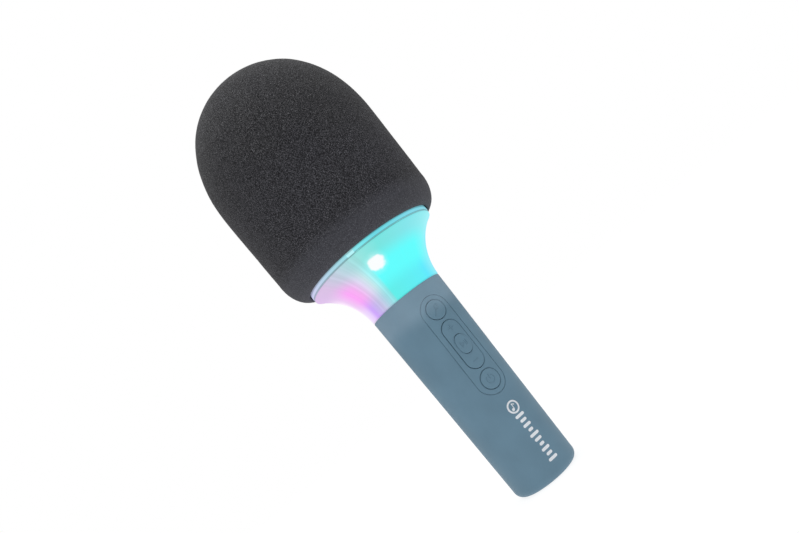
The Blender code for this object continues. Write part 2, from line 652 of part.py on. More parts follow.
def build_lead(name, points):
    curve = bpy.data.curves.new(name, "CURVE")
    curve.dimensions = "3D"
    curve.bevel_depth = LEAD_RADIUS * MM
    curve.bevel_resolution = 2
    curve.use_fill_caps = True
    spline = curve.splines.new("POLY")
    route = smooth_route(points, 5.0)
    spline.points.add(len(route) - 1)
    for target, point in zip(spline.points, route):
        target.co = (*(point * MM), 1.0)
    add_object(name, curve, "lead")


def build_leads():
    build_lead("battery_lead", [(0, 5.2, 79.8), (0, 4.6, 84), (0, 0.5, 89.3), (0, -5.0, 90.4),
                                (0, -8.4, 90.4)])
    # From the capsule down inside the cage, through the chassis and the core, to the board
    build_lead("mic_lead", [(0, 0, 216.1), (0.3, 0.3, 209), (5, 5, 202), (14, 14, 192), (20, 20, 180),
                            (21.3, 21.3, 166), (21.4, 21.4, 152), (21.4, 21.4, 144), (17.5, 17.5, 138.6),
                            (10.5, 10.5, 136), (10.0, 10.0, 130), (7.6, 7.0, 118), (4.8, 1.5, 106),
                            (2.6, -4.4, 98), (3, -6.2, 93.5), (3, -8.4, 91.6)])
    build_lead("speaker_lead", [(-13.6, -13.6, 142.8), (-13.4, -13.4, 138.5), (-10.6, -10.6, 134.4),
                                (-9.6, -9.6, 128), (-8.4, -8.2, 116), (-6.0, -5.6, 105), (-3.8, -4.0, 99),
                                (-3.6, -4.2, 96), (-5.6, -6.4, 92.8), (-6, -8.4, 91.4)])
    build_lead("led_lead", [(-17.2, 0, 128.8), (-15.0, 0, 128.4), (-12.6, -0.6, 124), (-9.4, -1.2, 112),
                            (-5.0, -2.4, 105), (-1.0, -4.8, 99), (-0.9, -5.3, 96), (-2.7, -6.6, 92.8),
                            (-3, -8.4, 91.4)])


clear_scene()
build_handle()
build_bezel()
build_round_key("voice_button", VOICE_Z)
build_round_key("power_button", POWER_Z)
build_rocker()
build_mode_button()
build_boards()
build_usb_socket()
build_carrier()
build_cell()
build_neck()
build_chassis()
build_speaker()
build_basket()
build_capsule()
build_foam()
build_leads()
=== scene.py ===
import json
import math

import bmesh
import bpy
import numpy as np
from mathutils import Matrix, Vector


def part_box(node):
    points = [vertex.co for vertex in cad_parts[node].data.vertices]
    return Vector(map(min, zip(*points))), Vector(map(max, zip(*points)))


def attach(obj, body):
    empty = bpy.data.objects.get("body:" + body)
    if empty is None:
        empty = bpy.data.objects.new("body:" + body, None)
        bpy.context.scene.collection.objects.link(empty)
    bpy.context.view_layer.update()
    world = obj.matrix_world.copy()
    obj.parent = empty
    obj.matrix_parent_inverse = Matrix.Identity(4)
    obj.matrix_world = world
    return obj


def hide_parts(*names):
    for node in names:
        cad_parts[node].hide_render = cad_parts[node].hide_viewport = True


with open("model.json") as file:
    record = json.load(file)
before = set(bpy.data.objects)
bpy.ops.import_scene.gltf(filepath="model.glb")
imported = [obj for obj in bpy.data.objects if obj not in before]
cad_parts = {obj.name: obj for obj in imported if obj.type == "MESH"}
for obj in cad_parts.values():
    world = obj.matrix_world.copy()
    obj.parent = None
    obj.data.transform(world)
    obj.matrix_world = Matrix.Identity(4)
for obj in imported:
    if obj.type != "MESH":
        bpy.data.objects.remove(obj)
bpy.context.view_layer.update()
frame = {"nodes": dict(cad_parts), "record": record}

mm = 0.001
root = "microphone"

# Anchors read from the frame, in millimetres
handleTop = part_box("handle_shell")[1].z / mm
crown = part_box("foam_windscreen")[1].z / mm
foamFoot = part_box("foam_windscreen")[0].z / mm
ringLow, ringHigh = (corner.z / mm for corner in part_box("neck_ring"))
rockerMiddle = sum(corner.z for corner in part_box("volume_rocker")) / 2 / mm
voiceMiddle = sum(corner.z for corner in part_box("voice_button")) / 2 / mm
powerMiddle = sum(corner.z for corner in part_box("power_button")) / 2 / mm
print("frame loaded, crown at", round(crown, 1), "mm")

handle = dict(baseRadius=16.6, topRadius=19.2, wall=1.6, floor=3.0, fillet=4.0)
viewTurn = math.radians(-23.5)      # the camera stands this far round from the keys


# surfaces

def handleRadius(z):
    # straight taper from the base radius to the top radius
    return handle["baseRadius"] + (handle["topRadius"] - handle["baseRadius"]) * z / handleTop


def gridFaces(rows, columns, closed=True):
    # quads between neighbouring rows and columns; the last column meets the first when closed
    index = np.arange(rows * columns).reshape(rows, columns)
    right = np.roll(index, -1, axis=1)
    quads = np.stack([index[:-1], right[:-1], right[1:], index[1:]], axis=-1)
    return (quads if closed else quads[:, :-1]).reshape(-1, 4)


def makeObject(name, points, faces, finish, sharp=35, weld=True):
    # points in millimetres become a mesh in metres, its poles welded shut, normals pointing out
    mesh = bpy.data.meshes.new(name)
    faces = faces if isinstance(faces, list) else faces.tolist()
    mesh.from_pydata((np.asarray(points) * mm).tolist(), [], faces)
    if weld:
        tidyMesh(mesh)
    mesh.shade_smooth()
    mesh.set_sharp_from_angle(angle=math.radians(sharp))
    mesh.materials.append(finish.material)
    return placed(name, mesh)


def placed(name, data):
    item = bpy.data.objects.new(name, data)
    bpy.context.scene.collection.objects.link(item)
    return item


def tidyMesh(mesh, distance=0.000002):
    # doubles welded, slivers dissolved, faces turned outwards
    work = bmesh.new()
    work.from_mesh(mesh)
    bmesh.ops.remove_doubles(work, verts=work.verts, dist=distance)
    bmesh.ops.dissolve_degenerate(work, edges=work.edges, dist=distance / 4)
    bmesh.ops.recalc_face_normals(work, faces=work.faces)
    work.to_mesh(mesh)
    work.free()


def softCorners(outline, radius, steps=4):
    # each corner P becomes the curve (1-s)^2 A + 2 s (1-s) P + s^2 B, with A and B on its two sides
    outline = np.asarray(outline, float)
    before, after = np.roll(outline, 1, axis=0) - outline, np.roll(outline, -1, axis=0) - outline
    reach = [np.minimum(radius, 0.45 * np.linalg.norm(side, axis=1))[:, None]
             / np.maximum(np.linalg.norm(side, axis=1)[:, None], 1e-9) for side in (before, after)]
    a, b = outline + before * reach[0], outline + after * reach[1]
    s = np.linspace(0, 1, steps + 1)[None, :, None]
    curve = (1 - s) ** 2 * a[:, None] + 2 * s * (1 - s) * outline[:, None] + s ** 2 * b[:, None]
    return curve.reshape(-1, 2)


def fullTurn(count):
    return np.arange(count) * 2 * np.pi / count


def arc(middle, width, height, angle):
    # (x, y) = middle + (w cos a, h sin a)
    return np.stack([middle[0] + width * np.cos(angle), middle[1] + height * np.sin(angle)], axis=-1)


def turnedPoints(profile, angles):
    # a profile of (radius, height) carried round Z: (r cos a, r sin a, z)
    profile = np.asarray(profile, float)
    r, z = profile[:, :1], profile[:, 1:]
    return np.stack([r * np.cos(angles), r * np.sin(angles), z + 0 * angles], axis=-1)


def wrapped(name, points, finish, sharp=35):
    # a grid of points, rows by columns, whose columns run once round
    return makeObject(name, points.reshape(-1, 3), gridFaces(*points.shape[:2]), finish, sharp)


def turned(name, profile, finish, segments=128, sharp=35):
    # a closed profile is carried round once; it meets its own start unless it ends on the axis
    profile = np.asarray(profile, float)
    if profile[0, 0] > 0:
        profile = np.vstack([profile, profile[:1]])
    return wrapped(name, turnedPoints(profile, fullTurn(segments)), finish, sharp)


def onHandle(x, z, offset):
    # wraps a flat place (x, z) onto the front of the handle: y = -sqrt((R(z) + offset)^2 - x^2)
    return np.stack([x, -np.sqrt((handleRadius(z) + offset) ** 2 - x ** 2), z], axis=-1)


def stadiumDistance(x, z, width, length, middle):
    # distance inwards from an oblong with round ends
    reach = length / 2 - width / 2
    return width / 2 - np.hypot(x, np.maximum(np.abs(z - middle) - reach, 0))


roundness = 2.3           # power of the mode key's oval


def ovalDistance(x, z, width, height, middle):
    # distance inwards along the ray from the middle of the oval |x/a|^p + |z/b|^p = 1
    total = np.abs(2 * x / width) ** roundness + np.abs(2 * (z - middle) / height) ** roundness
    spread = total ** (1 / roundness) + 1e-6
    return np.hypot(x, z - middle) * (1 / spread - 1) + (spread < 0.02)


def edgeDrop(distance, radius):
    # a quarter round: r - sqrt(r^2 - (r - d)^2) within r of the edge
    inside = np.clip(radius - distance, 0, radius)
    return radius - np.sqrt(radius ** 2 - inside ** 2)


def stadiumOutline(width, length, middle, count=120):
    # half circles x = w/2 cos a, z = w/2 sin a, moved apart by the straight sides between them
    angle = fullTurn(count)
    reach = length / 2 - width / 2
    return np.stack([width / 2 * np.cos(angle), middle + width / 2 * np.sin(angle)
                     + np.where(np.sin(angle) >= 0, reach, -reach)], axis=-1)


def ovalOutline(width, height, middle, count=120):
    # x = w/2 cos(a)^(2/p), z = h/2 sin(a)^(2/p), each with its sign
    angle = fullTurn(count)
    c, s = np.cos(angle), np.sin(angle)
    return np.stack([width / 2 * np.sign(c) * np.abs(c) ** (2 / roundness),
                     middle + height / 2 * np.sign(s) * np.abs(s) ** (2 / roundness)], axis=-1)


def prism(name, outline, finish, low=-30, high=-6, axis="y"):
    # an outline pushed along Y (outline in x, z) or along Z (outline in x, y); the usual heights
    # pass through the front wall of the handle
    count = len(outline)
    levels = np.repeat([low, high], count)
    u, v = np.tile(outline[:, 0], 2), np.tile(outline[:, 1], 2)
    points = np.stack([u, levels, v] if axis == "y" else [u, v, levels], axis=-1)
    walls = gridFaces(2, count).tolist()
    return makeObject(name, points, walls + [list(range(count)), list(range(count, 2 * count))], finish)


def slab(name, width, low, high, step, outer, inner, finish):
    # closed plate on the handle's front: outer(x, z) over an even grid, a plain inner face behind it
    x, z = np.meshgrid(np.linspace(-width / 2, width / 2, int(width / step) + 1),
                       np.linspace(low, high, int((high - low) / step) + 1))
    rows, columns = x.shape
    front, back = onHandle(x, z, outer(x, z)), onHandle(x, z, inner)
    # each row of the loop runs over the front and returns over the back
    loop = np.concatenate([front, back[:, ::-1]], axis=1)
    faces = gridFaces(rows, 2 * columns).tolist()
    for row in (0, rows - 1):
        start = row * 2 * columns
        faces += [[start + k, start + k + 1, start + 2 * columns - 2 - k, start + 2 * columns - 1 - k]
                  for k in range(columns - 1)]
    return makeObject(name, loop.reshape(-1, 3), faces, finish)


def carve(item, keep=None, cuts=()):
    # exact cuts, applied, after which the cutters are thrown away
    tools = ([(keep, "INTERSECT")] if keep else []) + [(tool, "DIFFERENCE") for tool in cuts]
    for tool, operation in tools:
        modifier = item.modifiers.new("carve", "BOOLEAN")
        modifier.operation, modifier.solver, modifier.object = operation, "EXACT", tool
    graph = bpy.context.evaluated_depsgraph_get()
    mesh = bpy.data.meshes.new_from_object(item.evaluated_get(graph))
    item.modifiers.clear()
    item.data = mesh
    for tool, _ in tools:
        bpy.data.objects.remove(tool, do_unlink=True)
    mesh.shade_smooth()
    mesh.set_sharp_from_angle(angle=math.radians(32))


def joined(name, items):
    # several closed shells become one piece
    with bpy.context.temp_override(active_object=items[0], selected_editable_objects=items):
        bpy.ops.object.join()
    items[0].name = items[0].data.name = name
    return items[0]


def tube(path, radius, sides=12):
    # a round profile carried along a path, its frame turned with the path, its ends closed flat
    path = np.asarray(path, float)
    tangent = np.gradient(path, axis=0)
    tangent /= np.linalg.norm(tangent, axis=1)[:, None]
    side = np.cross(tangent, [0.3, 0.2, 0.93])
    side /= np.maximum(np.linalg.norm(side, axis=1), 1e-9)[:, None]
    lift = np.cross(side, tangent)
    angle = fullTurn(sides)
    ring = side[:, None] * np.cos(angle)[None, :, None] + lift[:, None] * np.sin(angle)[None, :, None]
    points = path[:, None] + ring * radius
    first, last = (np.repeat(end[None, None], sides, 1) for end in (path[0], path[-1]))
    return np.concatenate([first, points, last]).reshape(-1, 3), gridFaces(len(path) + 2, sides)


def valueNoise(points, size, seed):
    # random numbers on a cubic lattice of the given size, blended smoothly between lattice points
    scaled = points / size
    cell = np.floor(scaled).astype(np.int64)
    part = scaled - cell
    part = part * part * (3 - 2 * part)
    total = 0
    for corner in np.ndindex(2, 2, 2):
        place = cell + np.array(corner)
        mixed = place @ np.array([374761393, 668265263, 2147483647]) + seed * 69069
        mixed = (mixed ^ (mixed >> 13)) * 1274126177 & 0xFFFFFFFF
        weight = np.prod(np.where(np.array(corner), part, 1 - part), axis=-1)
        total = total + weight * ((mixed ^ (mixed >> 16)) & 0xFFFF) / 65535
    return total


# materials

class Wire:
    # one socket, so that shader maths reads as an expression
    def __init__(self, finish, socket):
        self.finish, self.socket = finish, socket

    def maths(self, operation, *values):
        return self.finish.node("ShaderNodeMath", {"operation": operation}, dict(enumerate(values)))

    def __add__(self, other): return self.maths("ADD", self, other)
    def __sub__(self, other): return self.maths("SUBTRACT", self, other)
    def __mul__(self, other): return self.maths("MULTIPLY", self, other)
    def __truediv__(self, other): return self.maths("DIVIDE", self, other)
    def __rsub__(self, other): return self.maths("SUBTRACT", other, self)
    def __rtruediv__(self, other): return self.maths("DIVIDE", other, self)
    __radd__ = __add__
    __rmul__ = __mul__


class Finish:
    # a Principled material; fixed values go straight onto its sockets
    def __init__(self, name, **fixed):
        self.material = bpy.data.materials.new(name)
        self.material.use_nodes = True
        self.tree = self.material.node_tree
        self.shader = self.tree.nodes["Principled BSDF"]
        for key, value in fixed.items():
            self.set(spaced(key), value)

    def node(self, kind, settings=None, inputs=None, output=0):
        made = self.tree.nodes.new(kind)
        for key, value in (settings or {}).items():
            if key == "stops":
                fillRamp(made.color_ramp, value)
            else:
                setattr(made, key, value)
        for key, value in (inputs or {}).items():
            feed(self.tree, made.inputs[key], value)
        return Wire(self, made.outputs[output])

    def set(self, socket, value):
        feed(self.tree, self.shader.inputs[socket], value)

    def place(self):
        return self.node("ShaderNodeTexCoord", output="Object")

    def part(self, vector, axis):
        return self.node("ShaderNodeSeparateXYZ", {}, {0: vector}, axis)

    def levelled(self, vector):
        # the same place with its height taken off
        return self.node("ShaderNodeMapping", {}, {"Vector": vector, "Scale": (1.0, 1.0, 0.0)})

    def length(self, vector):
        return self.node("ShaderNodeVectorMath", {"operation": "LENGTH"}, {0: vector}, "Value")

    def noise(self, size, detail=2.0, rough=0.5, vector=None):
        # size is the width of one blob in millimetres
        return self.node("ShaderNodeTexNoise", {}, {"Vector": vector or self.place(), "Detail": detail,
                                                    "Scale": 1 / (size * mm), "Roughness": rough})

    def tint(self, value, dark, light):
        self.set("Base Color", self.ramp(value, [(0.3, dark), (0.7, light)]))

    def ramp(self, value, stops):
        return self.node("ShaderNodeValToRGB", {"stops": stops}, {0: value})

    def blend(self, factor, first, second):
        return self.node("ShaderNodeMix", {"data_type": "RGBA"}, {0: factor, 6: first, 7: second}, 2)

    def dim(self, colour, factor):
        return self.node("ShaderNodeVectorMath", {"operation": "SCALE"}, {0: colour, "Scale": factor})

    def span(self, value, low, high, toLow=0.0, toHigh=1.0):
        return self.node("ShaderNodeMapRange", {"interpolation_type": "SMOOTHSTEP"},
                         {0: value, 1: low, 2: high, 3: toLow, 4: toHigh})

    def bump(self, height, distance, strength=1.0):
        self.set("Normal", self.node("ShaderNodeBump", {}, {"Height": height, "Distance": distance * mm,
                                                            "Strength": strength}))


def spaced(key):
    # coatWeight becomes Coat Weight
    words = "".join(" " + letter if letter.isupper() else letter for letter in key)
    return words.title().replace("Ior", "IOR")


def feed(tree, socket, value):
    if isinstance(value, Wire):
        tree.links.new(value.socket, socket)
    elif isinstance(value, tuple) and len(value) == 3 and socket.type == "RGBA":
        socket.default_value = (*value, 1.0)
    else:
        socket.default_value = value


def fillRamp(ramp, stops):
    while len(ramp.elements) < len(stops):
        ramp.elements.new(0.5)
    for element, (position, colour) in zip(ramp.elements, stops):
        element.position = position
        element.color = (*colour, 1.0)


def fromScreen(red, green, blue):
    # a display colour of 0 to 255 becomes a linear one
    value = np.array([red, green, blue]) / 255
    return tuple(np.where(value < 0.04045, value / 12.92, ((value + 0.055) / 1.055) ** 2.4).tolist())


def scaled(colour, factor):
    return tuple(part * factor for part in colour)


def mouldedPlastic(name, colour, roughness, grain, depth, **fixed):
    # even colour with faint flow clouds, fine spark grain, and roughness that wanders a little
    finish = Finish(name, **fixed)
    clouds = finish.noise(14, 3)
    finish.tint(clouds, scaled(colour, 0.94), scaled(colour, 1.05))
    spark = finish.noise(grain, 2, 0.6)
    finish.set("Roughness", roughness - 0.05 + 0.06 * clouds + 0.05 * spark)
    finish.bump(spark, depth)
    return finish


# painted light: a faint blue glow on the tops of the handle and keys, standing in for the lit neck's light
# falling on them
paintedSpill = dict(colour=(0.056, 0.061, 0.069), heights=(0.0855, 0.0945), patch=13, waver=0.006)


def blueWithPaintedSpill(name, colour, roughness):
    # the moulded blue, with a faint painted glow over the top, where the collar sits: painted light
    # standing in for the lit neck's light falling on it
    finish = mouldedPlastic(name, colour, roughness, 0.3, 0.008, specularIorLevel=0.2, emissionStrength=1.0)
    patchy = finish.noise(paintedSpill["patch"], 1)
    height = finish.part(finish.place(), "Z") + paintedSpill["waver"] * (patchy - 0.5)
    amount = finish.span(height, *paintedSpill["heights"]) * (0.75 + 0.5 * patchy)
    finish.set("Emission Color", finish.dim(paintedSpill["colour"], amount))
    return finish


def brushedSteel(name, colour, roughness):
    finish = Finish(name, metallic=1.0)
    stretched = finish.node("ShaderNodeMapping", {}, {"Vector": finish.place(), "Scale": (1.0, 1.0, 12.0)})
    lines = finish.noise(0.5, 3, vector=stretched)
    finish.tint(lines, scaled(colour, 0.85), scaled(colour, 1.1))
    finish.set("Roughness", roughness - 0.06 + 0.14 * lines)
    finish.bump(lines, 0.006)
    return finish


# painted light: the lower corner's even lighter grey, where light from below falls, and the crown's lighter
# tone, where the overhead light falls, are set here
foamLook = dict(pore=0.42, fleck=0.26, drift=26, relief=0.085, paintedUnderLightHeights=(0.1375, 0.1455), paintedUnderLightShare=0.42,
                paintedUnderLightTone=(82, 83, 88), paintedTopLightHeights=(0.185, 0.225), paintedTopLightGain=1.38,
                tones=[(0.3, (8, 8, 9)), (0.5, (33, 33, 35)), (0.62, (58, 58, 61)), (0.76, (120, 120, 124))])


def foamFinish():
    # open-cell foam: small dark pores between lighter cell walls, a slow drift of tone, no gloss;
    # painted light: the lower edge is an even, lighter grey where light from below falls on it,
    # and the crown is painted a little lighter where the overhead light falls
    finish = Finish("foam_charcoal", sheenWeight=0.06, sheenRoughness=0.5, specularIorLevel=0.1)
    place = finish.place()
    height = finish.part(place, "Z")
    pores = finish.node("ShaderNodeTexVoronoi", {"feature": "F1"},
                        {"Vector": place, "Scale": 1 / (foamLook["pore"] * mm)})
    fleck = finish.noise(foamLook["fleck"], 2, 0.7)
    drift = finish.noise(foamLook["drift"], 3)
    stops = [(at, fromScreen(*shade)) for at, shade in foamLook["tones"]]
    tone = finish.ramp(fleck - 0.3 * pores + 0.2, stops)
    # painted light: the crown lighter towards the top, and the lower corner blended to an even lighter grey
    paintedTopLitTone = finish.dim(tone, finish.span(height, *foamLook["paintedTopLightHeights"], 1.0, foamLook["paintedTopLightGain"]))
    tone = finish.blend(finish.span(height, *foamLook["paintedUnderLightHeights"], foamLook["paintedUnderLightShare"], 0.0), paintedTopLitTone,
                        fromScreen(*foamLook["paintedUnderLightTone"]))
    warm = finish.ramp(drift * 0.35 + finish.span(height, 0.16, 0.215, 0.2, 0.45),
                       [(0.35, (0.985, 0.985, 1.04)), (0.62, (1.01, 1.01, 0.985))])
    finish.set("Base Color", finish.node("ShaderNodeMix", {"data_type": "RGBA", "blend_type": "MULTIPLY"},
                                         {0: 1.0, 6: tone, 7: warm}, 2))
    finish.set("Roughness", 0.9 + 0.08 * fleck)
    finish.bump(fleck - 0.6 * pores, foamLook["relief"], 0.9)
    return finish


# Colours of the lit neck as (degrees round from the middle of the view, red, green, blue), at three
# heights and on the ring. Cyan in the middle runs through grey-lilac to pink and violet on one side
# and through pale blue on the other, as six lamps of different colours shine up the milky wall.
glow = dict(
    low=[(-180, 150, 130, 255), (-120, 240, 160, 240), (-85, 250, 240, 255), (-60, 235, 210, 255),
         (-50, 210, 170, 255), (-30, 200, 200, 230), (-11, 145, 235, 235), (-8.4, 105, 240, 235),
         (40, 105, 240, 250), (50, 105, 235, 255), (75, 150, 240, 250), (130, 110, 170, 255),
         (180, 150, 130, 255)],
    middle=[(-180, 170, 140, 255), (-120, 250, 160, 240), (-85, 255, 240, 255), (-70, 240, 205, 245),
            (-50, 255, 170, 250), (-40, 250, 180, 245), (-20, 205, 235, 240), (-10, 145, 250, 250),
            (-7.6, 105, 255, 255), (50, 105, 255, 255), (75, 140, 245, 250), (130, 110, 180, 255),
            (180, 170, 140, 255)],
    high=[(-180, 180, 165, 240), (-120, 220, 185, 235), (-50, 220, 195, 230), (-30, 195, 210, 225),
          (-8, 155, 230, 225), (10, 125, 230, 225), (40, 135, 230, 235), (85, 160, 240, 245),
          (130, 140, 195, 245), (180, 180, 165, 240)],
    ring=[(-180, 160, 150, 225), (-60, 205, 210, 240), (-20, 165, 220, 230), (0, 130, 235, 240),
          (12, 115, 220, 230), (50, 135, 220, 235), (90, 140, 205, 220), (180, 160, 150, 225)])
outsideLight = 0.045     # what the wall already reflects, taken off its own light


def glowRamp(finish, turn, stops):
    # each stop's colour less what the wall reflects
    own = [tuple(max(part - outsideLight, 0.0) for part in fromScreen(*tone)) for _, *tone in stops]
    return finish.ramp(turn, [((stop[0] + 180) / 360, colour) for stop, colour in zip(stops, own)])


def glowTurn(finish, place):
    # 0 to 1 once round the axis, 0.5 towards the camera's side
    spun = finish.node("ShaderNodeMapping", {}, {"Vector": place, "Rotation": (0, 0, -viewTurn)})
    across = finish.part(spun, "X")
    return across.maths("ARCTAN2", across, 0 - finish.part(spun, "Y")) / (2 * math.pi) + 0.5


# lamp is the centre of a painted highlight, a white core with a halo standing in for a reflection, sized by
# the entries after it; lipShade and footShade give painted shade
neckLook = dict(lowFade=(0.107, 0.115), highFade=(0.1185, 0.126), pinkSide=(0.34, 0.40, 0.47, 0.478),
                streak=0.42, lamp=(-0.0001, -0.0266, 0.1205), core=(0.0030, 0.0047), halo=(0.002, 0.0068),
                highlightHaloShare=0.3, flatTop=(0.1228, 0.1240), lipShade=(0.12815, 0.12855),
                footShade=(0.1026, 0.1034))


def diffuserFinish():
    # light through a milky wall: colour by angle and height, faint upright streaks, a painted
    # highlight as a bright white core with a halo on the side facing the camera, standing in for a
    # reflection, and painted shade on a dim lip where the wall meets the ring and at its foot
    finish = Finish("diffuser_glow", emissionStrength=1.0, roughness=0.5, specularIorLevel=0.03)
    place = finish.place()
    turn = glowTurn(finish, place)
    height = finish.part(place, "Z")
    outward = finish.node("ShaderNodeVectorMath", {"operation": "NORMALIZE"}, {0: finish.levelled(place)})
    streaks = finish.noise(75, 3, vector=outward)       # one blob is a few degrees wide
    lower = finish.blend(finish.span(height, *neckLook["lowFade"]), glowRamp(finish, turn, glow["low"]),
                         glowRamp(finish, turn, glow["middle"]))
    upper = glowRamp(finish, turn, glow["high"])
    whole = finish.blend(finish.span(height, *neckLook["highFade"]), lower, upper)
    start, full, fade, end = neckLook["pinkSide"]
    pinkSide = finish.span(turn, start, full) * finish.span(turn, fade, end, 1.0, 0.0)
    whole = finish.dim(whole, 1 - neckLook["streak"] * (streaks - 0.45) * (0.12 + pinkSide))
    # painted highlight: a white core with a halo round the point named lamp, on the side facing the camera,
    # standing in for a reflection of a studio light
    lamp = Matrix.Rotation(viewTurn, 3, "Z") @ Vector(neckLook["lamp"])
    fromHighlightCentre = finish.node("ShaderNodeMapping", {}, {"Vector": place, "Location": tuple(-lamp)})
    away = finish.length(fromHighlightCentre) + 0.0022 * (finish.noise(2.6, 1) - 0.5)      # a ragged edge
    share = finish.span(away, *neckLook["halo"], neckLook["highlightHaloShare"], 0.0)
    halo = finish.blend(share, whole, (0.9, 0.95, 0.95))
    core = finish.span(away, *neckLook["core"], 1.0, 0.0)
    below = finish.span(height, *neckLook["flatTop"], 1.0, 0.15)
    withHighlight = finish.blend(core * below, halo, fromScreen(247, 249, 250))
    # painted shade: the glow dimmed along the lip where the wall meets the ring and along the foot where the
    # neck enters the handle
    lip = finish.span(height, *neckLook["lipShade"], 1.0, 0.6)
    foot = finish.span(height, *neckLook["footShade"], 0.75, 1.0)
    finish.set("Emission Color", finish.dim(withHighlight, lip * foot))
    finish.tint(streaks, (0.028, 0.031, 0.034), (0.036, 0.04, 0.043))
    return finish


def ringFinish():
    # bright lower half, with painted shade: dim where the foam shades its upper edge, along its bottom
    # edge above the gap to the neck, and on its inner faces in that gap
    finish = Finish("ring_glow", emissionStrength=1.0, specularIorLevel=0.15)
    place = finish.place()
    height = finish.part(place, "Z")
    reach = finish.length(finish.levelled(place))
    shade = finish.span(height, 0.12895, 0.12925, 0.5, 1.0) * finish.span(height, 0.1301, 0.1308, 1.0, 0.55)
    notch = finish.span(reach, 0.0338, 0.0340, 0.8, 0.0)
    band = glowRamp(finish, glowTurn(finish, place), glow["ring"])
    colour = finish.blend(notch, band, fromScreen(186, 246, 250))
    # painted shade on the inner faces, which sit in the gap
    inside = finish.span(reach, 0.0330, 0.0333, 0.5, 1.0)
    finish.set("Emission Color", finish.dim(colour, shade * inside))
    faint = finish.noise(0.8, 2)
    finish.tint(faint, (0.03, 0.034, 0.038), (0.04, 0.044, 0.048))
    finish.set("Roughness", 0.3 + 0.1 * faint)
    return finish


def lampFinish():
    # clear resin that glows in the colour of the wall before it
    finish = Finish("lamp", emissionStrength=3.0, roughness=0.2)
    finish.set("Emission Color", glowRamp(finish, glowTurn(finish, finish.place()), glow["middle"]))
    finish.tint(finish.noise(0.6), (0.75, 0.75, 0.7), (0.85, 0.85, 0.8))
    return finish


def boardFinish():
    # solder mask over a lattice of tracks, with tinned pads
    finish = Finish("board_mask", coatWeight=0.3, coatRoughness=0.2)
    place = finish.place()
    upright = finish.node("ShaderNodeMapping", {}, {"Vector": place, "Rotation": (math.pi / 2, 0, 0)})
    tracks = finish.node("ShaderNodeTexBrick", {}, {"Vector": upright, "Scale": 260.0, "Mortar Size": 0.03},
                         "Fac")
    dots = finish.node("ShaderNodeTexVoronoi", {}, {"Vector": finish.place(), "Scale": 420.0}, "Distance")
    pads = finish.span(dots, 0.12, 0.16, 1.0, 0.0)
    mask = finish.blend(tracks, (0.012, 0.13, 0.05), (0.03, 0.24, 0.1))
    finish.set("Base Color", finish.blend(pads, mask, (0.72, 0.68, 0.55)))
    finish.set("Metallic", pads)
    finish.set("Roughness", 0.42 - 0.15 * pads)
    finish.bump(tracks + pads, 0.03)
    return finish


def wrapFinish():
    # shrink wrap: blue film with one printed pale band round it
    finish = Finish("cell_film", coatWeight=0.5, coatRoughness=0.1)
    height = finish.part(finish.place(), "Z")
    band = finish.span(height, 0.0155, 0.0158) * finish.span(height, 0.0182, 0.0185, 1.0, 0.0)
    creases = finish.noise(3.0, 3)
    film = finish.ramp(creases, [(0.3, (0.06, 0.17, 0.44)), (0.7, (0.09, 0.22, 0.54))])
    finish.set("Base Color", finish.blend(band, film, (0.75, 0.78, 0.82)))
    finish.set("Roughness", 0.3 + 0.15 * creases)
    finish.bump(creases, 0.05)
    return finish


def paperFinish():
    # dark pressed pulp with fine fibres
    finish = Finish("cone_pulp", specularIorLevel=0.2)
    fibres = finish.noise(0.5, 4, 0.7)
    finish.tint(fibres, (0.03, 0.03, 0.032), (0.075, 0.072, 0.07))
    finish.set("Roughness", 0.8 + 0.15 * fibres)
    finish.bump(fibres, 0.05)
    return finish


softBlue = fromScreen(103, 134, 153)
shellBlue = blueWithPaintedSpill("shell_soft_blue", softBlue, 0.5)
keyBlue = blueWithPaintedSpill("key_soft_blue", softBlue, 0.52)
# painted shade: the raised marks a little darker than the keys, standing in for the shade on their strokes
shadedMarkBlue = blueWithPaintedSpill("mark_soft_blue", scaled(softBlue, 0.92), 0.5)
inkWhite = mouldedPlastic("ink_white", fromScreen(226, 230, 236), 0.55, 0.2, 0.004)
blackPlastic = mouldedPlastic("black_moulding", (0.028, 0.028, 0.03), 0.5, 0.5, 0.02)
whitePlastic = mouldedPlastic("white_moulding", (0.78, 0.78, 0.77), 0.42, 0.6, 0.01)
rubber = mouldedPlastic("black_rubber", (0.02, 0.02, 0.021), 0.72, 0.4, 0.02)
ferrite = mouldedPlastic("ferrite_grey", (0.05, 0.05, 0.052), 0.55, 0.7, 0.05)
redLead = mouldedPlastic("red_sleeve", (0.42, 0.02, 0.02), 0.4, 1.2, 0.02)
steel = brushedSteel("plated_steel", (0.6, 0.6, 0.61), 0.3)
foamCharcoal = foamFinish()
diffuserGlow = diffuserFinish()
ringGlow = ringFinish()
slotFinish = dict(shell_blue=shellBlue, key_blue=keyBlue, diffuser=diffuserGlow, ring=ringGlow,
                  foam=foamCharcoal, white_plastic=whitePlastic, led=lampFinish(), black_plastic=blackPlastic,
                  steel=steel, ferrite=ferrite, cone_paper=paperFinish(), rubber=rubber, board=boardFinish(),
                  cell_wrap=wrapFinish(), lead=redLead)
for entry in frame["record"]["subparts"]:
    carried = frame["nodes"][entry["node"]]
    if not carried.material_slots:
        carried.data.materials.append(None)
    carried.material_slots[0].material = slotFinish[entry["material_slot"]].material
print("materials made")


# foam head

foam = dict(radius=44.8, domeBase=187.0, power=2.2, cornerAt=(34.9, 144.0), cornerSize=(8.35, 13.5),
            cavityRadius=35.2, cavityTop=230.0, around=520, grain=0.035, lump=0.2)


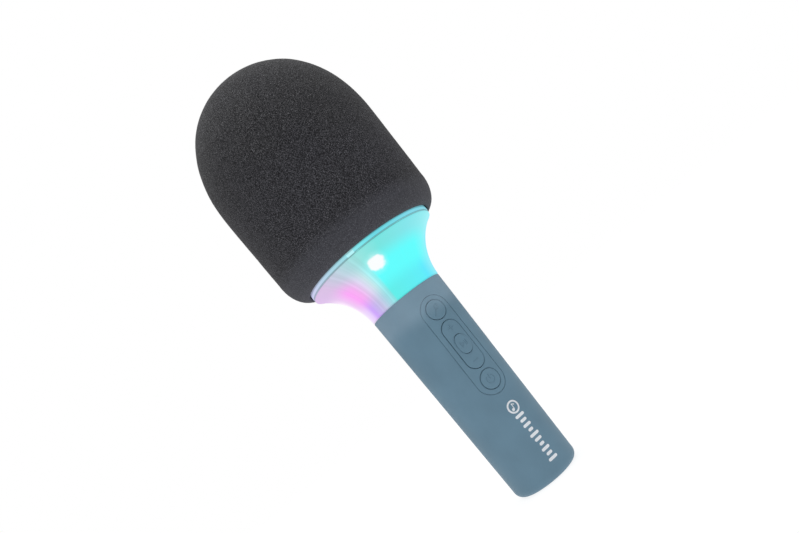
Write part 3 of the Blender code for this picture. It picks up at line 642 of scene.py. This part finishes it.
def domePoints(radius, height, low, high, count):
    # superellipse of power p: r = R cos(a)^(2/p), z = base + H sin(a)^(2/p)
    angle = np.linspace(low, high, count)
    power = 2 / foam["power"]
    return np.stack([radius * np.abs(np.cos(angle)) ** power,
                     foam["domeBase"] + height * np.abs(np.sin(angle)) ** power], axis=-1)


def foamProfile():
    # rounded lower corner, gently coned side, domed crown, then the cavity's dome and straight wall
    angle = np.radians(np.linspace(-84, 0, 50))
    corner = arc(foam["cornerAt"], *foam["cornerSize"], angle)
    z = np.linspace(foam["cornerAt"][1], foam["domeBase"], 70)[1:]
    side = np.stack([foam["radius"] - 1.6 * np.abs((foam["domeBase"] - z) / 43) ** 1.3, z], axis=-1)
    crownArc = domePoints(foam["radius"], crown - foam["domeBase"], 0.01, np.pi / 2, 120)
    outside = np.vstack([corner, side, crownArc])
    hollow = foam["cavityRadius"]
    inside = np.vstack([domePoints(hollow, foam["cavityTop"] - foam["domeBase"], np.pi / 2, 0, 40),
                        [[hollow, 160.0], [hollow, foamFoot + 0.6]]])
    return evened(outside, 0.47), evened(inside, 1.6)


def evened(curve, spacing):
    # points of a curve read again at an even distance along it
    run = np.concatenate([[0], np.cumsum(np.linalg.norm(np.diff(curve, axis=0), axis=1))])
    at = np.linspace(0, run[-1], int(run[-1] / spacing) + 1)
    return np.stack([np.interp(at, run, curve[:, k]) for k in range(2)], axis=-1)


def buildFoam():
    # the profile carried round, each point moved along its normal by fine grains and slow lumps
    outside, inside = foamProfile()
    lip = np.array([[foam["cavityRadius"] + 0.1, foamFoot + 0.15]])
    profile = np.vstack([inside, lip, outside])
    angles = fullTurn(foam["around"])
    points = turnedPoints(profile, angles)
    direction = np.gradient(profile, axis=0)
    normal = np.stack([direction[:, 1], -direction[:, 0]], axis=-1)
    normal /= np.linalg.norm(normal, axis=1)[:, None]
    outward = turnedPoints(normal, angles)
    grains = valueNoise(points, 1.1, 3) + 0.6 * valueNoise(points, 0.62, 8) - 0.8
    shape = foam["grain"] * grains + foam["lump"] * (valueNoise(points, 9.0, 5) - 0.5)
    rim = np.clip(profile[:, 0] / 1.5, 0, 1) ** 2          # nothing moves at the poles
    points += outward * (shape * rim[:, None])[..., None]
    piece = wrapped("foam_cover", points, foamCharcoal, sharp=180)
    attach(piece, "foam")
    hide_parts("foam_windscreen")


buildFoam()
print("foam made")


# lit neck

neck = dict(curve=30.0, centre=(49.3, 101.8), start=2.1, end=56.0, wall=1.8, top=ringLow - 0.3, lip=34.3,
            spigot=(15.6, 17.0), spigotFoot=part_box("diffuser_neck")[0].z / mm, notchTurn=-34.5,
            notchWidth=3.9, shoulder=(30.5, 129.7))


def flare(offset, start, end, count):
    # hollow curve about a centre outside it, pushed inwards by an offset
    angle = np.radians(np.linspace(180 - start, 180 - end, count))
    radius = neck["curve"] + offset
    return arc(neck["centre"], radius, radius, angle)


def buildNeck():
    # the wall runs up the outer flare, over a round lip and down the inner one; the ring is a
    # stepped band with one notch
    inner, outer = neck["spigot"]
    foot, top, lip = neck["spigotFoot"], neck["top"], neck["lip"]
    lipAngle = np.radians(np.linspace(-60, 90, 12))
    bead = arc((lip - 0.6, top - 0.6), 0.6, 0.6, lipAngle)
    profile = np.vstack([[(inner, foot), (inner + 0.2, foot), (outer - 0.2, foot), (outer, foot + 0.3),
                          (outer, handleTop + 0.25), (outer + 0.2, handleTop + 0.3), (19.1, handleTop + 0.3)],
                         flare(0, neck["start"] + 0.4, neck["end"], 60), bead,
                         [(32.5, top), (32.3, top - 0.2)], flare(neck["wall"], neck["end"] + 1, 4, 30),
                         [(inner, 103.2)]])
    piece = turned("neck_diffuser", profile, diffuserGlow, 256, sharp=50)
    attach(piece, root)
    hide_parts("diffuser_neck")

    step, shoulder = neck["shoulder"]
    ringProfile = softCorners([(17.6, shoulder), (step, shoulder), (step, ringLow), (34.5, ringLow),
                               (34.5, ringHigh), (17.6, ringHigh)], 0.3)
    ring = turned("neck_band", ringProfile, ringGlow, 256, sharp=50)
    half = neck["notchWidth"] / 2
    block = prism("notch", np.array([(-half, -36.0), (half, -36.0), (half, -33.3), (-half, -33.3)]),
                  ringGlow, ringLow - 1, ringHigh + 1, "z")
    block.data.transform(Matrix.Rotation(math.radians(neck["notchTurn"]), 4, "Z"))
    carve(ring, cuts=[block])
    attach(ring, root)
    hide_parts("neck_ring")


buildNeck()
print("neck made")


# handle shell and its key strip

strip = dict(width=14.4, length=52.4, middle=69.75, gap=0.15, edge=0.26, keyWidth=9.2, keyGap=0.22,
             rockerLength=25.1, modeWidth=6.5, modeHeight=9.5, depth=2.9, flange=2.4)
usb = dict(width=9.5, height=3.8, y=-6.9)
baseScrew = dict(y=6.0, well=2.6, depth=1.7, shank=1.5)


def stripSize(extra):
    return strip["width"] + extra, strip["length"] + extra, strip["middle"]


def buildShell():
    # a cup turned from a profile: rounded foot, tapered side, eased top, inner wall and floor; its
    # front skin sinks by a quarter round beside the opening for the keys
    angle = np.radians(np.linspace(-90, 0, 14))
    fillet = handle["fillet"]
    base = arc((handleRadius(fillet) - fillet, fillet), fillet, fillet, angle)
    heights = np.concatenate([np.linspace(5, 41, 19), np.linspace(41.3, 98.2, 190),
                              np.linspace(98.8, handleTop - 0.35, 5)])
    side = np.stack([handleRadius(heights), heights], axis=-1)
    top = handleRadius(handleTop)
    wall = handle["wall"]
    inside = [(top - 0.1, handleTop - 0.1), (top - 0.4, handleTop), (top - wall, handleTop),
              (handleRadius(40) - wall, 40), (handleRadius(6) - wall, 6), (13.0, handle["floor"]),
              (0, handle["floor"])]
    profile = np.vstack([[(0, 0), (6, 0)], base, side, inside])
    front = np.linspace(-121.5, -58.5, 92)
    angles = np.radians(np.concatenate([front, np.linspace(-55.5, 235.5, 98)]))
    points = turnedPoints(profile, angles)
    x, y, z = points[..., 0], points[..., 1], points[..., 2]
    outerSkin = (np.arange(len(profile)) < 2 + len(base) + len(side))[:, None] & (y < 0)
    opening = stripSize(2 * strip["gap"])
    away = -stadiumDistance(x, z, *opening)
    drop = np.where(outerSkin, edgeDrop(np.abs(away), strip["edge"]), 0) / np.maximum(np.hypot(x, y), 1)
    points[..., 0] -= x * drop
    points[..., 1] -= y * drop
    shell = wrapped("handle_body", points, shellBlue)
    slot = stadiumOutline(usb["height"], usb["width"], 0)[:, ::-1] + np.array([0, usb["y"]])
    screwAt, turn = (0, baseScrew["y"]), fullTurn(48)
    carve(shell, cuts=[prism("opening", stadiumOutline(*opening), shellBlue),
                       prism("slot", slot, shellBlue, -1, 5, "z"),
                       prism("well", arc(screwAt, baseScrew["well"], baseScrew["well"], turn), shellBlue,
                             -1, baseScrew["depth"], "z"),
                       prism("shank", arc(screwAt, baseScrew["shank"], baseScrew["shank"], turn), shellBlue,
                             1, 5, "z")])
    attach(shell, root)
    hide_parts("handle_shell")


def keyHoles():
    # (width, length, middle) of the three openings, each a gap wider than its key all round
    hole = strip["keyWidth"] + 2 * strip["keyGap"]
    return [(hole, hole, voiceMiddle), (hole, hole, powerMiddle),
            (hole, strip["rockerLength"] + 2 * strip["keyGap"], rockerMiddle)]


def buildBezel():
    # face plate with a quarter round towards every edge, and a plain flange behind the wall
    def face(x, z):
        away = [stadiumDistance(x, z, *stripSize(0))]
        away += [-stadiumDistance(x, z, *hole) for hole in keyHoles()]
        return -edgeDrop(np.maximum(np.min(away, axis=0), 0), strip["edge"])

    def trim(part, extra):
        carve(part, prism("keep", stadiumOutline(*stripSize(extra)), shellBlue),
              [prism("hole", stadiumOutline(*hole), shellBlue) for hole in keyHoles()])

    half, middle = strip["length"] / 2 + 0.6, strip["middle"]
    plate = slab("bezel_face", strip["width"] + 0.6, middle - half, middle + half, 0.22, face,
                 -strip["depth"] + 0.4, shellBlue)
    trim(plate, 0)
    flange = slab("bezel_flange", strip["width"] + strip["flange"], middle - half - 0.5, middle + half + 0.5,
                  1.0, lambda x, z: -handle["wall"] - 0.3 + 0 * x, -strip["depth"], shellBlue)
    trim(flange, strip["flange"])
    piece = joined("key_bezel", [plate, flange])
    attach(piece, root)
    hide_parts("button_bezel")


def stem(z, radius=1.4, tip=-13.2):
    # post from the back of a key to its switch, turned about Y
    profile = softCorners([(0, tip), (radius, tip), (radius, -15.6), (0, -15.6)], 0.15)
    post = turned("stem", profile[profile[:, 0] > -1], keyBlue, 24)
    post.data.transform(Matrix.Translation((0, 0, z * mm)) @ Matrix.Rotation(math.radians(-90), 4, "X"))
    return post


def buildKey(name, node, body, shape, size, proud, edge, step, stems, cuts=(), back=3.2, bulge=0.0):
    # a cap whose edge is a quarter round and whose face can swell by bulge (1 - (1 - d/m)^2);
    # the shape is a pair, its outline and its distance inwards
    outline = shape[0](*size)

    def face(x, z):
        away = np.maximum(shape[1](x, z, *size), 0)
        deepest = away.max()
        return proud - edgeDrop(away, edge) + bulge * (1 - (1 - away / deepest) ** 2)

    low, high = outline.min(0), outline.max(0)
    cap = slab(name, high[0] - low[0] + 0.5, low[1] - 0.25, high[1] + 0.25, step, face, -back, keyBlue)
    carve(cap, prism("keep", outline, keyBlue), cuts)
    piece = joined(name, [cap] + [stem(z) for z in stems])
    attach(piece, body)
    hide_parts(node)


def buildKeys():
    width, length = strip["keyWidth"], strip["rockerLength"]
    modeWidth, modeHeight = strip["modeWidth"], strip["modeHeight"]
    stadium, oval = (stadiumOutline, stadiumDistance), (ovalOutline, ovalDistance)
    for name, node, body, middle in (("voice_key_cap", "voice_button", "voice_key", voiceMiddle),
                                     ("power_key_cap", "power_button", "power_key", powerMiddle)):
        buildKey(name, node, body, stadium, (width, width, middle), 0.22, 0.3, 0.14, [middle], bulge=-0.1)
    # the mode key's window is longer than the key by more than it is wider, to clear the tilt
    modeHole = prism("hole", ovalOutline(modeWidth + 0.16, modeHeight + 0.46, rockerMiddle), keyBlue)
    buildKey("volume_key_cap", "volume_rocker", "volume_key", stadium, (width, length, rockerMiddle),
             0.22, 0.3, 0.16, [rockerMiddle - 9, rockerMiddle + 9], [modeHole], back=2.9)
    buildKey("mode_key_cap", "mode_button", "mode_key", oval, (modeWidth, modeHeight, rockerMiddle),
             0.74, 0.45, 0.12, [rockerMiddle], bulge=0.1)


buildShell()
buildBezel()
buildKeys()
print("handle and keys made")


# raised marks on the keys, and the printed row on the handle

def wrappedStroke(path, width, height, offset, sides=10):
    # an oval bead of the given width and height carried along a flat path wrapped onto the handle
    path = np.asarray(path, float)
    tangent = np.gradient(path, axis=0)
    tangent /= np.linalg.norm(tangent, axis=1)[:, None]
    across = np.stack([-tangent[:, 1], tangent[:, 0]], axis=-1)
    caps = np.sin(np.linspace(0, np.pi / 2, 5))
    ahead = np.cos(np.linspace(0, np.pi / 2, 5)) * width / 2
    start = path[:1] - tangent[:1] * ahead[:, None]
    end = path[-1:] + tangent[-1:] * ahead[::-1, None]
    line = np.vstack([start, path[1:-1], end])
    across = np.vstack([np.repeat(across[:1], 5, 0), across[1:-1], np.repeat(across[-1:], 5, 0)])
    size = np.concatenate([caps, np.ones(len(path) - 2), caps[::-1]])
    angle = fullTurn(sides)
    flat = line[:, None] + across[:, None] * (np.cos(angle)[None, :] * size[:, None] * width / 2)[..., None]
    lift = offset + np.sin(angle)[None, :] * height * size[:, None]
    return onHandle(flat[..., 0], flat[..., 1], lift).reshape(-1, 3), gridFaces(len(line), sides)


def straight(start, end, count=12):
    # P + t (Q - P)
    return np.linspace(start, end, count)


def bent(middle, radius, start, end, count=40):
    # an arc: middle + r (cos a, sin a), in degrees
    angle = np.radians(np.linspace(start, end, count))
    return arc(middle, radius, radius, angle)


def buildMark(name, body, finish, strokes, height, offset):
    # strokes are (path, width) pairs that together make one mark
    made = []
    for path, width in strokes:
        points, faces = wrappedStroke(path, width, height, offset)
        made.append(makeObject(name, points, faces, finish, sharp=60))
    piece = joined(name, made)
    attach(piece, body)


marks = dict(flush=0.2, stroke=0.42, arm=1.25, apart=8.9, badgeAt=35.1, badgeRadius=2.6, barsFrom=30.6,
             barPitch=2.5, barStroke=1.35, barLengths=[4.3, 2.8, 3.6, 2.0, 4.3, 3.2, 2.0, 3.8, 2.6, 4.3])


def buildMarks():
    # every mark is a few strokes, each a path on the unrolled front and a width
    flush, arm, stroke = marks["flush"], marks["arm"], marks["stroke"]
    z = voiceMiddle
    singer = [(straight((-1.95, z - 2.4), (0.2, z + 0.3)), 0.66), (bent((1.0, z + 1.3), 0.62, 0, 360), 1.24),
              (straight((-0.35, z + 1.0), (0.85, z - 0.05)), 0.32)]
    buildMark("voice_mark", "voice_key", shadedMarkBlue, singer, 0.2, flush - 0.07)
    z = powerMiddle
    power = [(bent((0, z - 0.15), 1.9, 125, 415), 0.5), (straight((0, z + 0.2), (0, z + 2.1)), 0.5)]
    buildMark("power_mark", "power_key", shadedMarkBlue, power, 0.2, flush - 0.07)
    z = rockerMiddle + marks["apart"]
    plus = [(straight((-arm, z), (arm, z)), stroke), (straight((0, z - arm), (0, z + arm)), stroke)]
    z = rockerMiddle - marks["apart"]
    minus = [(straight((-arm, z), (arm, z)), stroke)]
    buildMark("volume_marks", "volume_key", shadedMarkBlue, plus + minus, 0.18, flush)
    z = rockerMiddle
    low, high, tip = (-1.5, z - 1.15), (-1.5, z + 1.15), (0.25, z)
    triangle = np.vstack([straight(low, high, 8), straight(high, tip, 8)[1:], straight(tip, low, 8)[1:]])
    play = [(triangle, 0.3)] + [(straight((x, z - 1.15), (x, z + 1.15)), 0.34) for x in (0.85, 1.6)]
    buildMark("mode_mark", "mode_key", shadedMarkBlue, play, 0.16, 0.79)

    # printed row: a round note badge, then bars like a level meter
    badge = marks["badgeAt"]
    note = [(bent((0, badge), marks["badgeRadius"], 0, 360, 90), 0.8),
            (bent((-0.75, badge - 1.0), 0.3, 0, 360, 20), 0.75),
            (straight((-0.05, badge - 0.9), (-0.05, badge + 1.45)), 0.36),
            (straight((-0.05, badge + 1.45), (1.0, badge + 0.75)), 0.4)]
    bars = []
    for k, length in enumerate(marks["barLengths"]):
        half, z = length / 2 - 0.35, marks["barsFrom"] - marks["barPitch"] * k
        bars.append((straight((-half, z), (half, z)), marks["barStroke"]))
    buildMark("printed_row", root, inkWhite, note + bars, 0.035, 0.0)


buildMarks()
print("marks made")


# inside the head: cage, chassis, loudspeaker and capsule

cage = dict(radius=34.2, wall=1.8, top=225.0, ribs=12, hoops=(168.9, 188.4), domeHoops=(30, 58),
            ribRadius=0.9, hoopRadius=0.95)


def buildCage():
    # ribs are bent rods in upright planes, hoops are rods bent round, both in the middle of the wall
    middle = cage["radius"] - cage["wall"] / 2 - 0.05
    rise = cage["top"] - foam["domeBase"] - cage["wall"] / 2
    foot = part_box("grille_basket")[0].z / mm
    dome = domePoints(middle, rise, 0, math.radians(76), 40)
    arch = evened(np.vstack([[(middle, foot + 1.2), (middle, 165.0)], dome]), 2.0)
    objects = []
    for k in range(cage["ribs"]):
        turn = 2 * math.pi * k / cage["ribs"]
        path = np.stack([arch[:, 0] * math.cos(turn), arch[:, 0] * math.sin(turn), arch[:, 1]], axis=-1)
        objects.append(makeObject("cage_rib", *tube(path, cage["ribRadius"]), blackPlastic, 60))
    rod = cage["hoopRadius"]
    rings = [(middle, height) for height in cage["hoops"]]
    rings += [domePoints(middle, rise, angle, angle, 1)[0] for angle in np.radians(cage["domeHoops"])]
    objects += [turned("cage_hoop", arc(at, rod, rod, fullTurn(12)), blackPlastic, 96, 60) for at in rings]
    within, beyond = cage["radius"] - cage["wall"], cage["radius"]
    base = softCorners([(within, foot), (beyond, foot), (beyond, foot + 3.4), (within, foot + 3.4)], 0.4)
    objects.append(turned("cage_base", base, blackPlastic, 128, 50))
    cap = softCorners([(6.6, 222.7), (11.5, 221.9), (11.9, 223.4), (6.9, 224.4)], 0.3)
    objects.append(turned("cage_cap", cap, blackPlastic, 96, 50))
    piece = joined("foam_cage", objects)
    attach(piece, root)
    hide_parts("grille_basket")


def dressed(name, node, body, slot, profile, rounding, segments=128):
    # a turned piece that stands for a turned CAD node, with its corners eased
    profile = np.asarray(profile, float)
    eased = softCorners(profile, rounding)
    if profile[0, 0] == 0:                  # its two ends stay on the axis
        eased = np.vstack([profile[:1], eased[5:-5], profile[-1:]])
    piece = turned(name, eased, slotFinish[slot], segments, 40)
    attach(piece, body)
    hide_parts(node)


def buildHeadParts():
    # turned pieces: chassis, loudspeaker, boot and capsule; the cone is a straight cone between a
    # half-round surround and a cap that falls by 0.062 r^2
    floor = ringHigh + 0.3
    dressed("chassis_cup", "head_chassis", root, "black_plastic",
            [(16.0, floor), (33.6, floor), (33.6, 148.0), (24.0, 148.0), (24.0, 146.0), (31.6, 146.0),
             (31.6, floor + 2), (16.0, floor + 2)], 0.4)
    seat = 148.3
    dressed("speaker_basket", "speaker_frame", root, "steel",
            [(7.5, 138.5), (13.9, 138.5), (23.4, seat - 0.4), (23.4, seat), (29.0, seat), (29.0, seat + 1.2),
             (22.4, seat + 1.2), (22.2, seat), (13.2, 139.5), (7.5, 139.5)], 0.25)
    dressed("magnet_ring", "speaker_magnet", root, "ferrite",
            [(0, 134.3), (12.4, 134.3), (12.4, 138.2), (0, 138.2)], 0.5, 96)
    roll = np.radians(np.linspace(180, 0, 10))
    surround = arc((19.1, 148.4), 1.0, 0.9, roll)
    cap = np.linspace(0, 5.8, 12)
    over = np.vstack([surround[::-1], [(17.2, 148.1), (12.0, 146.0), (6.6, 143.7)],
                      np.stack([cap[::-1], 146.4 - 0.062 * cap[::-1] ** 2], axis=-1)])
    under = [(0, 145.8), (5.6, 143.8), (5.6, 139.9), (6.4, 139.9), (6.4, 142.9), (12.0, 145.3), (17.4, 147.7),
             (20.1, 148.0)]
    cone = turned("driver_cone", np.vstack([under, over]), slotFinish["cone_paper"], 128, 40)
    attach(cone, "cone")
    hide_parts("speaker_cone")
    dressed("capsule_sleeve", "capsule_boot", root, "rubber",
            [(5.2, 215.0), (6.2, 215.0), (6.2, 220.6), (7.6, 220.6), (7.6, 221.8), (6.2, 221.8), (6.2, 224.8),
             (8.2, 224.8), (8.2, 226.0), (5.2, 226.0)], 0.3, 96)
    dressed("capsule_can", "mic_capsule", root, "steel",
            [(0, 216.5), (4.85, 216.5), (4.85, 223.0), (3.9, 223.0), (3.7, 222.7), (0, 222.7)], 0.2, 96)


def buildScrews():
    # pan heads with a cross recess: the height falls where |x| or |y| is under half its width
    for node in [name for name in frame["nodes"] if "_screw_" in name or name == "base_screw"]:
        low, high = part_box(node)
        size = (high - low) / mm
        middle = (low + high) / 2 / mm
        along = int(np.argmax(size))
        head = max(size[(along + 1) % 3], size[(along + 2) % 3]) / 2 * 1.02
        length = size[along]
        faceUp = node != "base_screw" and not node.startswith("board")
        rings = np.concatenate([np.linspace(0, head * 0.8, 14), [head * 0.93, head]])
        tops = length - 0.45 * np.clip(rings / head - 0.55, 0, 1) ** 2 / 0.2
        shank = head * 0.52
        profile = np.vstack([np.stack([rings, tops], axis=-1),
                             [(head, length - 1.0), (head - 0.05, length - head * 0.62),
                              (shank, length - head * 0.66), (shank, 1.2), (shank * 0.5, 0.0), (0, 0)]])
        points = turnedPoints(profile, fullTurn(64))
        x, y = points[..., 0], points[..., 1]
        cross = (np.minimum(np.abs(x), np.abs(y)) < head * 0.13) & (np.hypot(x, y) < head * 0.6)
        points[..., 2] -= np.where(cross & (np.arange(len(profile)) < 14)[:, None], head * 0.3, 0)
        points[..., 2] -= length / 2
        if along == 1:                          # board screws point along Y, heads towards the keys
            points = np.stack([x, -points[..., 2], points[..., 1]], axis=-1)
        elif not faceUp:
            points[..., 1:] *= -1
        points = points + np.array(middle)
        piece = wrapped(node + "_turned", points, steel, 30)
        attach(piece, root)
        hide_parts(node)


buildCage()
buildHeadParts()
buildScrews()
print("inner parts made")


# floor, light and camera

studio = dict(floorReach=6.0, floorGlow=0.85, room=0.315, backdrop=1.0, overhead=2.2, overheadSpread=100,
              boxAt=(-0.71, -0.55, 0.2), boxAim=(0, 0, 0.1), boxSize=(0.1, 0.6), boxPower=0.6)


def buildStage():
    # a flat sheet just under the base, which glows a little so that it stays white
    paper = Finish("floor_paper", roughness=0.9, emissionColor=(1.0, 1.0, 1.0),
                   emissionStrength=studio["floorGlow"])
    paper.tint(paper.noise(40), (0.17, 0.17, 0.17), (0.19, 0.19, 0.19))
    corners = np.array([(-1, -1, 0), (1, -1, 0), (1, 1, 0), (-1, 1, 0)]) * studio["floorReach"] / mm
    floor = makeObject("floor", corners - np.array([0, 0, 0.05]), [(0, 1, 2, 3)], paper, weld=False)


def softbox(name, place, aim, size, power):
    light = bpy.data.lights.new(name, "AREA")
    light.shape, light.size, light.size_y, light.energy = "RECTANGLE", size[0], size[1], power
    item = placed(name, light)
    item.location = place
    item.rotation_euler = (Vector(aim) - Vector(place)).to_track_quat("-Z", "Y").to_euler()


def buildLights():
    # an even pale room, brighter where the camera looks past the object, a broad light overhead
    # that whitens the floor, and one tall soft box at the left for the long highlight
    world = bpy.data.worlds.new("studio")
    world.use_nodes = True
    tree = world.node_tree
    room, bright = tree.nodes["Background"], tree.nodes.new("ShaderNodeBackground")
    for shader, strength in ((room, studio["room"]), (bright, studio["backdrop"])):
        shader.inputs["Color"].default_value = (1, 1, 1, 1)
        shader.inputs["Strength"].default_value = strength
    mix = tree.nodes.new("ShaderNodeMixShader")
    tree.links.new(tree.nodes.new("ShaderNodeLightPath").outputs["Is Camera Ray"], mix.inputs[0])
    tree.links.new(room.outputs[0], mix.inputs[1])
    tree.links.new(bright.outputs[0], mix.inputs[2])
    tree.links.new(mix.outputs[0], tree.nodes["World Output"].inputs["Surface"])
    bpy.context.scene.world = world
    bpy.context.scene.view_settings.view_transform = "Standard"
    sun = bpy.data.lights.new("overhead", "SUN")
    sun.energy, sun.angle = studio["overhead"], math.radians(studio["overheadSpread"])
    placed("overhead", sun)
    softbox("left_box", studio["boxAt"], studio["boxAim"], studio["boxSize"], studio["boxPower"])


camera = dict(lens=700 / 799 * 36, distance=0.3288, height=0.06655, tilt=math.atan(107.4 / 700),
              swing=math.atan(15.4 / math.hypot(700, 107.4)), roll=(0.7794, 0.6265))


def buildCamera():
    # built upright in front of the keys, swung round the axis, then rolled so the head leans up and left
    tilt, swing = camera["tilt"], camera["swing"]
    ahead = Vector((0, math.cos(tilt), math.sin(tilt)))
    right = Vector((1, 0, 0))
    up = right.cross(ahead)
    look = ahead * math.cos(swing) + right * math.sin(swing)
    side = right * math.cos(swing) - ahead * math.sin(swing)
    cosine, sine = camera["roll"]
    axes = [side * cosine - up * sine, side * sine + up * cosine, -look]
    turn = Matrix.Rotation(viewTurn, 4, "Z")
    pose = Matrix(axes).transposed().to_4x4()
    pose.translation = Vector((0, -camera["distance"], camera["height"]))
    data = bpy.data.cameras.new("camera")
    data.lens, data.sensor_width = camera["lens"], 36
    data.clip_start, data.clip_end = 0.01, 50
    item = placed("camera", data)
    item.matrix_world = turn @ pose
    bpy.context.scene.camera = item


buildStage()
buildLights()
buildCamera()
print("floor, lights and camera made")
